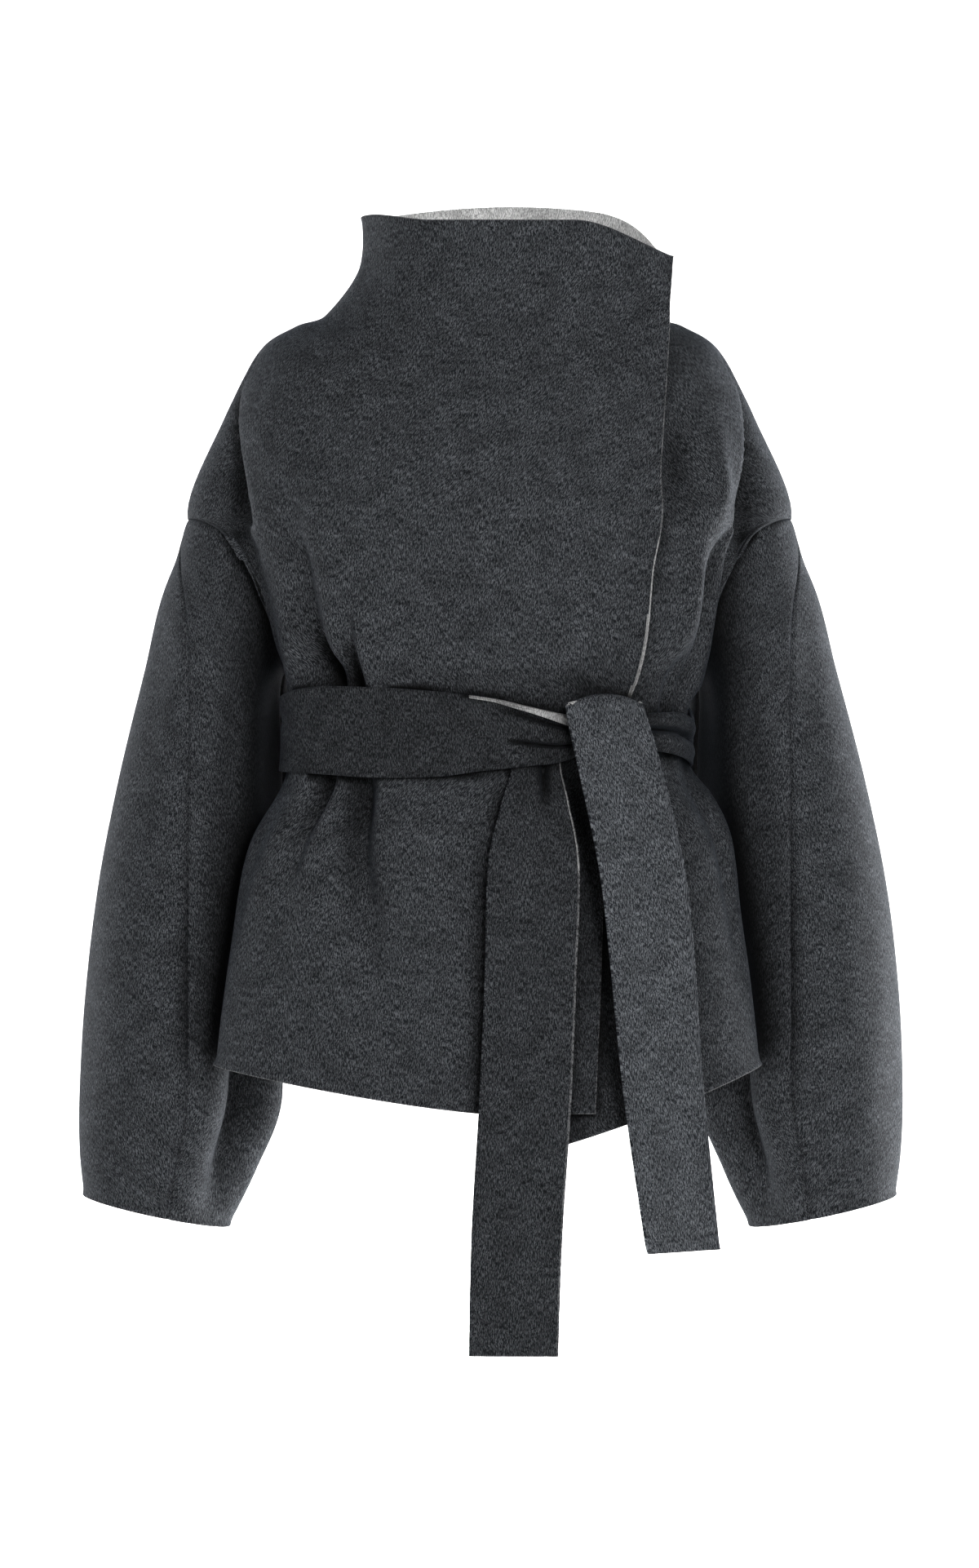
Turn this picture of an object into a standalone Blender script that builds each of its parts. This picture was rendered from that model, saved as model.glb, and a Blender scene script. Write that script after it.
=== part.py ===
"""Short wrap coat in double-faced wool.

It has a grown-on funnel collar, dropped shoulders, full two-piece sleeves and a tied sash.

Metres, +Z up, +Y towards the back, +X towards the wearer's left.
The origin is where the shoulders carry the coat.
"""

import math
from collections import namedtuple

import bmesh
import bpy
import numpy as np

# Cloth
CLOTH = 0.0026
SEAM_GAP = 0.0004
WRAP_LIFT = 0.0054
SASH_LIFT = 0.0012

# Colours of the two cloth faces, as base colour and roughness
CHARCOAL = ((0.036, 0.039, 0.045, 1.0), 0.92)

# Across a front the coordinate c runs from 0 at the centre to 1 at the shoulder, armhole or side seam.
# The soft ridge where the front turns back towards the arm is always at RIDGE_C.
RIDGE_C = 0.62
# The under front's hidden edge: level and c
UNDER_EDGE = {"level": (0, 9, 11, 13), "c": (-0.20, -0.20, -0.06, 0.03)}

# One row for each section of the body, from the collar's top to the hem.
# half and ridge_y: the widest point of the front. side: the seam between front and back.
Ring = namedtuple(
    "Ring",
    "half ridge_y side_x side_y side_z front_y front_z back_y back_z "
    "square fall ridge_deg end_deg edge_deg",
)
BODY_RINGS = {
    "collar_top": Ring(
        0.1145, 0.000, 0.1145, 0.000, 0.082, -0.076, 0.077, 0.080, 0.0985, 2.0, 2.0, 55, 90, 76),
    "collar_mid": Ring(
        0.109, 0.000, 0.109, 0.000, 0.040, -0.080, 0.032, 0.078, 0.052, 2.0, 2.0, 55, 90, 72),
    "neck_base": Ring(
        0.124, 0.004, 0.124, 0.004, 0.009, -0.090, -0.014, 0.086, 0.010, 2.0, 2.0, 54, 90, 67),
    "shoulder_inner": Ring(
        0.148, 0.008, 0.148, 0.008, 0.000, -0.106, -0.048, 0.100, -0.022, 2.0, 2.0, 53, 90, 58),
    "shoulder_break": Ring(
        0.176, 0.012, 0.176, 0.012, -0.019, -0.118, -0.080, 0.110, -0.058, 2.1, 2.0, 53, 90, 46),
    "arm_high": Ring(
        0.203, 0.018, 0.203, 0.018, -0.070, -0.126, -0.110, 0.117, -0.095, 2.2, 2.0, 53, 90, 36),
    "dropped_seam": Ring(
        0.2305, 0.022, 0.2305, 0.022, -0.146, -0.131, -0.140, 0.121, -0.135, 2.3, 2.0, 53, 90, 29.5),
    "armhole_middle": Ring(
        0.190, -0.018, 0.181, 0.022, -0.180, -0.132, -0.188, 0.121, -0.188, 2.4, 2.0, 70, 100, 34),
    "underarm": Ring(
        0.166, -0.038, 0.136, 0.022, -0.240, -0.128, -0.240, 0.117, -0.240, 2.4, 2.0, 86, 112, 38),
    "sash_top": Ring(
        0.1510, -0.034, 0.144, 0.012, -0.278, -0.117, -0.278, 0.107, -0.278, 2.3, 2.0, 90, 112, 39),
    "sash_bottom": Ring(
        0.1505, -0.034, 0.143, 0.012, -0.340, -0.117, -0.340, 0.107, -0.340, 2.3, 2.0, 90, 112, 33),
    "hip_high": Ring(
        0.178, -0.048, 0.146, 0.008, -0.395, -0.132, -0.395, 0.117, -0.395, 2.3, 1.6, 90, 112, 26),
    "hip": Ring(
        0.192, -0.060, 0.147, 0.010, -0.470, -0.142, -0.475, 0.127, -0.470, 2.3, 1.4, 90, 112, 22),
    "hem": Ring(
        0.202, -0.066, 0.148, 0.012, -0.557, -0.150, -0.589, 0.138, -0.566, 2.3, 1.3, 90, 112, 19),
}
LEVELS = {name: index for index, name in enumerate(BODY_RINGS)}
DROPPED = LEVELS["dropped_seam"]
UNDERARM = LEVELS["underarm"]
HEM = LEVELS["hem"]
UNDER_FRONT_HEM_Z = -0.624

# The collar leans to the wearer's left. The outer front drops there, the back and under front fall late
COLLAR_SHIFT = 0.017
COLLAR_DROP = 0.030
COLLAR_DROP_FROM_X = 0.045
COLLAR_DROP_SPAN = 0.085
COLLAR_FALL = 0.026
COLLAR_FALL_FROM_X = 0.043
COLLAR_FALL_SPAN = 0.070

# Where the free edge of the outer front stands off the neck, a row for each section from the top
Edge = namedtuple("Edge", "x y z")
FLAP_EDGE = {
    "collar_top": Edge(0.1325, -0.048, 0.0465),
    "collar_mid": Edge(0.1315, -0.062, 0.016),
    "neck_base": Edge(0.1300, -0.073, -0.014),
    "shoulder_inner": Edge(0.1270, -0.087, -0.048),
    "shoulder_break": Edge(0.1250, -0.098, -0.080),
    "arm_high": Edge(0.1225, -0.106, -0.110),
}

# The armhole is a tilted loop round the upper arm; z falls from its outer to its inner point
ARMHOLE_X = 0.18325
ARMHOLE_HALF = 0.04725
ARMHOLE_Y = 0.022
ARMHOLE_DEPTH = 0.060
ARMHOLE_TOP_Z = -0.146
ARMHOLE_FALL = 0.094
ARMHOLE_BEND = 1.25
# Where across a front or back its rows come onto the arm
ARM_FRONT_C = 0.70
ARM_BACK_C = 0.62

# Soft valleys in the body cloth. c and level: the two ends of the valley's line. width is in c.
# peak is where along the line it is deepest, from 0 to 1.
Fold = namedtuple("Fold", "c0 level0 c1 level1 depth width peak")
FRONT_FOLDS = [
    Fold(-0.70, 4.2, -0.73, 8.4, 0.012, 0.060, 0.65),
    Fold(0.70, 4.2, 0.73, 8.4, 0.012, 0.060, 0.65),
    Fold(-0.80, 6.8, -0.90, 9.3, 0.024, 0.090, 0.50),
    Fold(0.80, 6.8, 0.90, 9.3, 0.024, 0.090, 0.50),
    Fold(-0.50, 4.5, -0.365, 9.6, 0.013, 0.070, 0.80),
    Fold(-0.36, 7.2, -0.350, 9.9, 0.014, 0.026, 0.80),
    Fold(-0.29, 7.0, -0.290, 9.9, 0.016, 0.026, 0.80),
    Fold(-0.12, 6.2, 0.010, 8.8, 0.006, 0.050, 0.60),
    Fold(-0.37, 9.3, -0.400, 12.0, 0.013, 0.045, 0.30),
    Fold(-0.27, 9.3, -0.145, 13.0, 0.019, 0.042, 0.30),
    Fold(0.52, 4.6, 0.380, 8.0, 0.007, 0.050, 0.45),
    Fold(0.58, 5.4, 0.500, 9.8, 0.010, 0.045, 0.80),
    Fold(0.43, 7.4, 0.420, 9.9, 0.008, 0.030, 0.80),
    Fold(0.56, 9.3, 0.500, 13.0, 0.009, 0.060, 0.45),
]
BACK_FOLDS = [
    Fold(-0.62, 4.4, -0.74, 8.8, 0.010, 0.085, 0.60),
    Fold(0.62, 4.4, 0.74, 8.8, 0.010, 0.085, 0.60),
    Fold(-0.55, 6.8, -0.50, 9.9, 0.012, 0.050, 0.80),
    Fold(-0.20, 7.4, -0.18, 9.9, 0.010, 0.045, 0.80),
    Fold(0.15, 7.2, 0.16, 9.9, 0.012, 0.050, 0.80),
    Fold(0.50, 7.0, 0.47, 9.9, 0.011, 0.045, 0.80),
    Fold(-0.50, 9.3, -0.46, 13.0, 0.016, 0.060, 0.35),
    Fold(-0.12, 9.3, -0.10, 12.6, 0.012, 0.050, 0.35),
    Fold(0.22, 9.3, 0.26, 13.0, 0.015, 0.060, 0.35),
    Fold(0.60, 9.3, 0.62, 12.4, 0.010, 0.050, 0.35),
]

# One row for each section of a sleeve below the armhole: its outer and inner points, its depth,
# and the overarm seam's angle
Cuff = namedtuple("Cuff", "out_x out_z in_x in_z front_y back_y seam_deg")
SLEEVE_RINGS = [
    Cuff(0.246, -0.192, 0.163, -0.270, -0.044, 0.100, 50),
    Cuff(0.264, -0.262, 0.167, -0.322, -0.047, 0.104, 77),
    Cuff(0.284, -0.345, 0.166, -0.375, -0.050, 0.107, 89),
    Cuff(0.300, -0.428, 0.166, -0.440, -0.051, 0.109, 96),
    Cuff(0.310, -0.510, 0.161, -0.518, -0.049, 0.108, 97),
    Cuff(0.314, -0.582, 0.157, -0.590, -0.045, 0.104, 96),
    Cuff(0.3135, -0.628, 0.178, -0.643, -0.040, 0.095, 98),
    Cuff(0.310, -0.661, 0.199, -0.685, -0.034, 0.086, 103),
]
# Valleys in a sleeve: angle at the two ends, section at the two ends, depth, width in degrees
SleeveFold = namedtuple("SleeveFold", "deg0 ring0 deg1 ring1 depth width peak")
SLEEVE_FOLDS = [
    SleeveFold(150, 3.4, 138, 8.4, 0.034, 21, 0.52),
    SleeveFold(228, 1.5, 236, 6.5, 0.010, 20, 0.50),
    SleeveFold(318, 2.0, 322, 7.0, 0.007, 18, 0.50),
    SleeveFold(198, 0.05, 198, 4.4, -0.0145, 20, 0.34),
]

# The sash: a band round the waist whose two ends go under the knot, and two hanging ends
SASH_HEIGHTS = (-BODY_RINGS["sash_top"].side_z, -BODY_RINGS["sash_bottom"].side_z)
# Along the band, from the end at the knot's left round the back to its right
Band = namedtuple("Band", "along top_z bottom_z lift")
SASH_BAND = [
    Band(0.00, -0.2970, -0.3330, 0.0066),
    Band(0.07, -0.2900, -0.3350, 0.0060),
    Band(0.14, -0.2820, -0.3405, 0.0022),
    Band(0.20, -0.2760, -0.3410, 0.0000),
    Band(0.35, -0.2760, -0.3410, 0.0000),
    Band(0.65, -0.2760, -0.3400, 0.0000),
    Band(0.85, -0.2800, -0.3380, 0.0000),
    Band(0.94, -0.2860, -0.3330, 0.0030),
    Band(1.00, -0.2900, -0.3300, 0.0042),
]
SASH_LEFT_END_DEG = 26
SASH_RIGHT_END_DEG = 43
# Hanging ends: middle of the strip, its width, and its turn about the vertical in degrees
Hang = namedtuple("Hang", "x y z width turn")
LONG_END = [
    Hang(0.0350, -0.1247, -0.318, 0.033, 8),
    Hang(0.0345, -0.1250, -0.338, 0.036, 8),
    Hang(0.0335, -0.1375, -0.365, 0.050, 5),
    Hang(0.0325, -0.1500, -0.408, 0.066, 4),
    Hang(0.0300, -0.1590, -0.490, 0.0655, 3),
    Hang(0.0260, -0.1660, -0.580, 0.0655, 2),
    Hang(0.0200, -0.1690, -0.676, 0.0650, 0),
    Hang(0.0175, -0.1690, -0.764, 0.0640, -2),
]
SHORT_END = [
    Hang(0.0880, -0.1135, -0.2945, 0.050, 28),
    Hang(0.0875, -0.1138, -0.2885, 0.054, 28),
    Hang(0.0865, -0.1185, -0.2830, 0.060, 26),
    Hang(0.0865, -0.1265, -0.2822, 0.061, 25),
    Hang(0.0870, -0.1318, -0.2880, 0.062, 24),
    Hang(0.0890, -0.1345, -0.304, 0.063, 22),
    Hang(0.0980, -0.1410, -0.345, 0.064, 20),
    Hang(0.1120, -0.1490, -0.412, 0.065, 20),
    Hang(0.1195, -0.1540, -0.480, 0.065, 22),
    Hang(0.1275, -0.1560, -0.572, 0.065, 28),
    Hang(0.1420, -0.1560, -0.689, 0.065, 36),
]

# Mesh rows and columns
FRONT_ROWS = [(0, 2, 4), (2, 6, 8), (6, 8, 8), (8, 9, 4), (9, 10, 2), (10, 11, 3), (11, 13, 6)]
BACK_ROWS = [(0, 2, 4), (2, 6, 8), (6, 8, 13), (8, 9, 4), (9, 10, 2), (10, 11, 3), (11, 13, 6)]
# Columns: where each span of c ends and how many columns it holds, closest where the folds are
OUTER_FRONT_COLUMNS = [(-0.62, 8), (-0.45, 4), (-0.22, 9), (None, 7)]
UNDER_FRONT_COLUMNS = [(0.36, 6), (0.64, 9), (1.0, 7)]
BACK_COLUMNS = 24
SLEEVE_ROWS = 16
SASH_COLUMNS = 56
SASH_ROWS = 3
STRIP_ROWS = 4


def smooth(value):
    """0 below 0, 1 above 1, and an S between them."""
    t = np.clip(value, 0.0, 1.0)
    return t * t * (3 - 2 * t)


def between(rows, at):
    """The rows' values at a fractional row number, on a smooth curve through them."""
    table = np.array(rows, float)
    at = float(np.clip(at, 0, len(table) - 1))
    k = min(int(at), len(table) - 2)
    t = at - k
    before = table[max(k - 1, 0)]
    start = table[k]
    end = table[k + 1]
    after = table[min(k + 2, len(table) - 1)]
    slope_in = 0.5 * (end - before)
    slope_out = 0.5 * (after - start)
    return (
        (2 * t**3 - 3 * t**2 + 1) * start
        + (t**3 - 2 * t**2 + t) * slope_in
        + (3 * t**2 - 2 * t**3) * end
        + (t**3 - t**2) * slope_out
    )


def ring_at(level):
    return Ring(*between(list(BODY_RINGS.values()), level))


def armhole(turn, front):
    """A point of the wearer's left armhole: turn is 0 at the outer point and pi at the underarm."""
    side = -1 if front else 1
    fall = (0.5 - 0.5 * math.cos(turn)) ** ARMHOLE_BEND
    return np.array([
        ARMHOLE_X + ARMHOLE_HALF * math.cos(turn),
        ARMHOLE_Y + side * ARMHOLE_DEPTH * math.sin(turn),
        ARMHOLE_TOP_Z - ARMHOLE_FALL * fall,
    ])


def seam_point(level, front):
    """Where the front meets the back or the sleeve, on the wearer's left."""
    if DROPPED < level < UNDERARM:
        return armhole(math.pi * (level - DROPPED) / (UNDERARM - DROPPED), front)
    ring = ring_at(level)
    return np.array([ring.side_x, ring.side_y, ring.side_z])


def powered(value, square):
    return math.copysign(abs(value) ** (2 / square), value)


def lean(point, level, wraps):
    """The collar's shift and drop towards the wearer's left."""
    share = 1 - float(smooth(level / LEVELS["neck_base"]))
    if wraps:
        drop = COLLAR_DROP * float(smooth((point[0] - COLLAR_DROP_FROM_X) / COLLAR_DROP_SPAN))
    else:
        drop = COLLAR_FALL * max(0.0, (point[0] - COLLAR_FALL_FROM_X) / COLLAR_FALL_SPAN) ** 4
    return point + share * np.array([COLLAR_SHIFT, 0, -drop])


def round_the_arm(point, level, share, front):
    """Draws the part of a row that crosses the upper arm onto the arm's own round."""
    start = ARM_FRONT_C if front else ARM_BACK_C
    hold = float(smooth((level - DROPPED + 2.2) / 2)) * (1 - float(smooth((level - DROPPED - 0.4) / 0.9)))
    hold *= float(smooth((share - start + 0.1) / 0.14))
    ring = ring_at(min(level, DROPPED))
    first = max(0.0, math.pi * (level - DROPPED) / (UNDERARM - DROPPED))
    turn = first + (math.pi / 2 - first) * min((1 - share) / (1 - start), 1.2)
    x = ring.side_x - ARMHOLE_HALF * (1 - math.cos(turn))
    y = ring.side_y + (-1 if front else 1) * ARMHOLE_DEPTH * math.sin(turn)
    return point + hold * np.array([x - point[0], y - point[1], 0])


def front_point(level, c, hem_z, wraps=True):
    """The base surface of a front, on either side of the centre by the sign of c."""
    ring = ring_at(level)
    side = math.copysign(1, c)
    share = abs(c)
    if share < RIDGE_C:
        degrees = ring.ridge_deg * share / RIDGE_C
    else:
        degrees = ring.ridge_deg + (ring.end_deg - ring.ridge_deg) * (share - RIDGE_C) / (1 - RIDGE_C)

    def on_ring(angle):
        x = ring.half * powered(math.sin(angle), ring.square)
        reach = (ring.front_y if angle < math.pi / 2 else -ring.back_y) - ring.ridge_y
        y = ring.ridge_y + reach * powered(math.cos(angle), ring.square)
        front_z = ring.front_z + hem_z * float(smooth(level - HEM + 2))
        fall = 1 - abs(x / ring.half) ** ring.fall if angle < math.pi / 2 else 0.0
        return np.array([x, y, ring.side_z + (front_z - ring.side_z) * fall])

    point = on_ring(math.radians(degrees))
    pull = float(smooth((share - RIDGE_C) / (1 - RIDGE_C)))
    point = point + pull * (seam_point(level, True) - on_ring(math.radians(ring.end_deg)))
    point = round_the_arm(point, level, share, True)
    return lean(point * np.array([side, 1, 1]), level, wraps)


def back_point(level, c):
    """The base surface of the back: c is 0 at its centre and 1 at the wearer's left seam."""
    ring = ring_at(level)
    side = math.copysign(1, c)
    share = abs(c)
    half = ring.half if level <= DROPPED else ring.side_x
    if DROPPED < level < UNDERARM:
        ends = (ring_at(DROPPED).side_x, ring_at(UNDERARM).side_x)
        half = float(np.interp(level, (DROPPED, UNDERARM), ends))

    def on_ring(angle):
        x = half * powered(math.sin(angle), ring.square)
        y = ring.side_y + (ring.back_y - ring.side_y) * powered(math.cos(angle), ring.square)
        return np.array([x, y, ring.side_z + (ring.back_z - ring.side_z) * (1 - (x / half) ** 2)])

    point = on_ring(share * math.pi / 2)
    pull = float(smooth((share - 0.45) / 0.55))
    point = point + pull * (seam_point(level, False) - on_ring(math.pi / 2))
    point = round_the_arm(point, level, share, False)
    return lean(point * np.array([side, 1, 1]), level, False)


def fold_depth(folds, c, level):
    """How far the valleys press the cloth in at a point."""
    total = 0.0
    for fold in folds:
        along = (level - fold.level0) / (fold.level1 - fold.level0)
        if not 0 < along < 1:
            continue
        line = fold.c0 + (fold.c1 - fold.c0) * along
        rise = along / fold.peak if along < fold.peak else (1 - along) / (1 - fold.peak)
        total += fold.depth * float(smooth(rise)) * math.exp(-(((c - line) / fold.width) ** 2))
    return total * float(smooth((1 - abs(c)) / 0.06))


def grid_normals(grid):
    """Unit normals of a grid of points, each the mean of the faces round it weighted by their size."""
    falling = grid[1:, 1:] - grid[:-1, :-1]
    rising = grid[:-1, 1:] - grid[1:, :-1]
    face = np.cross(falling, rising)
    total = np.zeros(grid.shape)
    for rows in (np.s_[:-1], np.s_[1:]):
        for columns in (np.s_[:-1], np.s_[1:]):
            total[rows, columns] += face
    return total / np.linalg.norm(total, axis=2, keepdims=True)


def columns_of(first, spans, last):
    """Values of c across a panel: spans as in the tables, None standing for the last edge."""
    values = [first]
    for end, steps in spans:
        start = values[-1]
        end = last if end is None else end
        values += [start + (end - start) * k / steps for k in range(1, steps + 1)]
    return np.array(values)


def levels_of(spans):
    levels = [float(spans[0][0])]
    for start, end, steps in spans:
        levels += [start + (end - start) * k / steps for k in range(1, steps + 1)]
    return levels


def pressed(base, outward, depth):
    return base + grid_normals(base) * (outward * depth)[..., None]


def edge_c(level):
    ring = ring_at(level)
    return RIDGE_C * ring.edge_deg / ring.ridge_deg


def flap_standoff(level):
    """How far the outer front's free edge stands off the chest, fading out below the table's last row."""
    rows = list(FLAP_EDGE.values())
    held = min(level, len(rows) - 1.0)
    hold = 1 - float(smooth((level - held) / 2))
    return hold * (between(rows, held) - front_point(held, edge_c(held), 0.0))


def outer_front_grid():
    """The wearer's right front, from its side seam past the centre to its free edge."""
    levels = levels_of(FRONT_ROWS)
    base, c_of = [], []
    for level in levels:
        last = edge_c(level)
        cs = columns_of(-1.0, OUTER_FRONT_COLUMNS, last)
        loose = flap_standoff(level)
        centre_z = front_point(level, 0.0, 0.0)[2]
        row = []
        for c in cs:
            point = front_point(level, c, 0.0)
            if c > 0:
                point = point + loose * (c / last) ** 1.5
                point[2] += (centre_z - point[2]) * float(smooth(level - HEM + 1))
            row.append(point)
        base.append(row)
        c_of.append(cs)
    base, c_of = np.array(base), np.array(c_of)
    depth = np.array([[fold_depth(FRONT_FOLDS, c, level) for c in cs] for cs, level in zip(c_of, levels)])
    lift = WRAP_LIFT * smooth((c_of + 0.78) / 0.36)
    return pressed(base, 1, lift - depth)


def under_front_grid():
    """The wearer's left front, from its hidden edge to its side seam."""
    levels = levels_of(FRONT_ROWS)
    drop = UNDER_FRONT_HEM_Z - BODY_RINGS["hem"].front_z
    base, depth = [], []
    for level in levels:
        first = float(np.interp(level, UNDER_EDGE["level"], UNDER_EDGE["c"]))
        cs = columns_of(first, UNDER_FRONT_COLUMNS, 1.0)
        base.append([front_point(level, c, drop, False) for c in cs])
        covered = 0.006 * smooth((0.35 - cs) / 0.3) * (1 - smooth(level / 3))
        depth.append([fold_depth(FRONT_FOLDS, c, level) for c in cs] + covered)
    return pressed(np.array(base), -1, np.array(depth))


def back_grid():
    """The back, from the wearer's left seam to the right, so that its normals point out."""
    levels = levels_of(BACK_ROWS)
    cs = np.linspace(1, -1, BACK_COLUMNS + 1)
    base = np.array([[back_point(level, c) for c in cs] for level in levels])
    depth = np.array([[fold_depth(BACK_FOLDS, c, level) for c in cs] for level in levels])
    return pressed(base, -1, depth)


def sleeve_ring(ring, turn):
    """A point of the wearer's left sleeve: turn runs from the outer side over the front."""
    middle_x = 0.5 * (ring.out_x + ring.in_x)
    half_x = 0.5 * (ring.out_x - ring.in_x)
    middle_y = 0.5 * (ring.front_y + ring.back_y)
    half_y = 0.5 * (ring.back_y - ring.front_y)
    share = 0.5 - 0.5 * math.cos(turn)
    return np.array([
        middle_x + half_x * math.cos(turn),
        middle_y - half_y * math.sin(turn),
        ring.out_z + (ring.in_z - ring.out_z) * share,
    ])


def sleeve_grid(front):
    """Half of the wearer's left sleeve, from the overarm seam to the underarm seam."""
    spans = FRONT_ROWS if front else BACK_ROWS
    columns = next(steps for start, _, steps in spans if start == DROPPED)
    seams = [0.0] + [ring.seam_deg for ring in SLEEVE_RINGS]
    grid = []
    for k in range(SLEEVE_ROWS + 1):
        at = len(SLEEVE_RINGS) * k / SLEEVE_ROWS
        seam = math.radians(float(between([[s] for s in seams], at)[0]))
        end = math.pi if front else -math.pi
        row = []
        for j in range(columns + 1):
            turn = seam + (end - seam) * j / columns
            hole = math.pi * j / columns
            stations = [armhole(hole, front)] + [sleeve_ring(r, turn) for r in SLEEVE_RINGS]
            inward = np.array([-math.cos(turn), math.sin(turn), 0])
            row.append(between(stations, at) + inward * sleeve_press(at, math.degrees(turn) % 360))
        grid.append(row[::-1] if front else row)
    return np.array(grid)


def sleeve_press(at, degrees):
    total = 0.0
    for fold in SLEEVE_FOLDS:
        along = (at - fold.ring0) / (fold.ring1 - fold.ring0)
        if not 0 < along < 1:
            continue
        line = fold.deg0 + (fold.deg1 - fold.deg0) * along
        rise = along / fold.peak if along < fold.peak else (1 - along) / (1 - fold.peak)
        total += fold.depth * float(smooth(rise)) * math.exp(-(((degrees - line) / fold.width) ** 2))
    return total


def mirrored(grid):
    """The same panel on the wearer's other side, its columns turned round so that it still faces out."""
    return (grid * np.array([-1, 1, 1]))[:, ::-1]


def waist_point(degrees, level):
    """A point and its outward direction on the waist: 0 is the centre front, 90 the wearer's left."""

    def on_waist(d):
        turned = (d + 180) % 360 - 180
        share = abs(turned)
        ring = ring_at(level)
        side = math.copysign(1, turned)
        if share <= ring.end_deg:
            c = RIDGE_C * share / ring.ridge_deg
            if share > ring.ridge_deg:
                c = RIDGE_C + (1 - RIDGE_C) * (share - ring.ridge_deg) / (ring.end_deg - ring.ridge_deg)
            return front_point(level, side * c, 0.0)
        return back_point(level, side * (180 - share) / (180 - ring.end_deg))

    along = on_waist(degrees + 4) - on_waist(degrees - 4)
    outward = np.array([along[1], -along[0], 0])
    turned = (degrees + 180) % 360 - 180
    wrapped = WRAP_LIFT * float(smooth((turned + 118) / 40)) * float(smooth((75 - turned) / 25))
    return on_waist(degrees), outward / np.linalg.norm(outward), wrapped


def sash_grid():
    """The band, from the knot's left end over the wearer's right side and the back to its right end."""
    stations = np.array(SASH_BAND)
    grid = np.zeros((SASH_ROWS + 1, SASH_COLUMNS + 1, 3))
    for j in range(SASH_COLUMNS + 1):
        along = j / SASH_COLUMNS
        at = float(np.interp(along, stations[:, 0], np.arange(len(stations))))
        station = Band(*between(SASH_BAND, at))
        degrees = SASH_LEFT_END_DEG - along * (360 - SASH_RIGHT_END_DEG + SASH_LEFT_END_DEG)
        for i in range(SASH_ROWS + 1):
            z = station.top_z + (station.bottom_z - station.top_z) * i / SASH_ROWS
            level = float(np.interp(-z, SASH_HEIGHTS, (LEVELS["sash_top"], LEVELS["sash_bottom"])))
            point, outward, wrapped = waist_point(degrees, level)
            point = point + outward * (CLOTH + SASH_LIFT + wrapped + station.lift)
            grid[i, j] = (point[0], point[1], z)
    return grid[:, ::-1]


def strip_grid(stations, steps):
    """A hanging end: rows down its length, columns from its left edge to its right."""
    grid = []
    for k in range(steps + 1):
        hang = Hang(*between(stations, (len(stations) - 1) * k / steps))
        turn = math.radians(hang.turn)
        across = np.array([math.cos(turn), math.sin(turn), 0]) * hang.width
        middle = np.array([hang.x, hang.y, hang.z])
        grid.append([middle + across * (j / STRIP_ROWS - 0.5) for j in range(STRIP_ROWS + 1)])
    return np.array(grid)


def shared_normals(grids):
    """Each grid's normals, made common where grids meet along a seam."""
    own = {name: grid_normals(grid) for name, grid in grids.items()}
    sums = {}
    for name, grid in grids.items():
        for point, normal in zip(np.round(grid.reshape(-1, 3), 6), own[name].reshape(-1, 3)):
            sums[tuple(point)] = sums.get(tuple(point), 0) + normal
    common = {}
    for name, grid in grids.items():
        rows = [sums[tuple(point)] for point in np.round(grid.reshape(-1, 3), 6)]
        rows = np.array(rows).reshape(grid.shape)
        common[name] = rows / np.linalg.norm(rows, axis=2, keepdims=True)
    return own, common


def parted(grid, own, common):
    """The grid with its border drawn in by half a seam gap."""
    moved = grid.copy()
    rim = np.zeros(grid.shape[:2], bool)
    whole = slice(None)
    lines = [((0, whole), (1, whole)), ((-1, whole), (-2, whole))]
    lines += [((whole, 0), (whole, 1)), ((whole, -1), (whole, -2))]
    for line, next_line in lines:
        inward = grid[next_line] - grid[line]
        moved[line] += inward / np.linalg.norm(inward, axis=1, keepdims=True) * SEAM_GAP / 2
        rim[line] = True
    turn = 1 - (own * common).sum(axis=2)
    moved[rim] -= (own * turn[..., None])[rim] * SEAM_GAP
    return moved


def wall(name, grid, normals, material):
    """A closed wall of cloth: the grid is its outer face."""
    rows, columns = grid.shape[:2]
    mesh = bmesh.new()
    outer = [[mesh.verts.new(p) for p in row] for row in grid]
    inner = [[mesh.verts.new(p) for p in row] for row in grid - normals * CLOTH]
    for i in range(rows - 1):
        for j in range(columns - 1):
            corners = ((i, j), (i + 1, j), (i + 1, j + 1), (i, j + 1))
            mesh.faces.new([outer[a][b] for a, b in corners])
            mesh.faces.new([inner[a][b] for a, b in corners[:1] + corners[:0:-1]])
    border = [(i, 0) for i in range(rows)]
    border += [(rows - 1, j) for j in range(1, columns)]
    border += [(i, columns - 1) for i in range(rows - 2, -1, -1)]
    border += [(0, j) for j in range(columns - 2, 0, -1)]
    for (a, b), (c, d) in zip(border, border[1:] + border[:1]):
        ends = [outer[c][d], outer[a][b], inner[a][b], inner[c][d]]
        # Both pieces at a seam split its rim from the same corner, the outer one that is higher.
        if outer[a][b].co.z > outer[c][d].co.z:
            ends = ends[1:] + ends[:1]
        mesh.faces.new(ends)
    data = bpy.data.meshes.new(name)
    mesh.to_mesh(data)
    mesh.free()
    data.materials.append(material)
    data.shade_smooth()
    data.set_sharp_from_angle(angle=math.radians(50))
    made = bpy.data.objects.new(name, data)
    bpy.context.scene.collection.objects.link(made)
    return made


def cloth_material(name, colour, roughness):
    material = bpy.data.materials.new(name)
    material.use_nodes = True
    shader = material.node_tree.nodes["Principled BSDF"]
    shader.inputs["Base Color"].default_value = colour
    shader.inputs["Roughness"].default_value = roughness
    shader.inputs["Metallic"].default_value = 0.0
    return material


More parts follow.
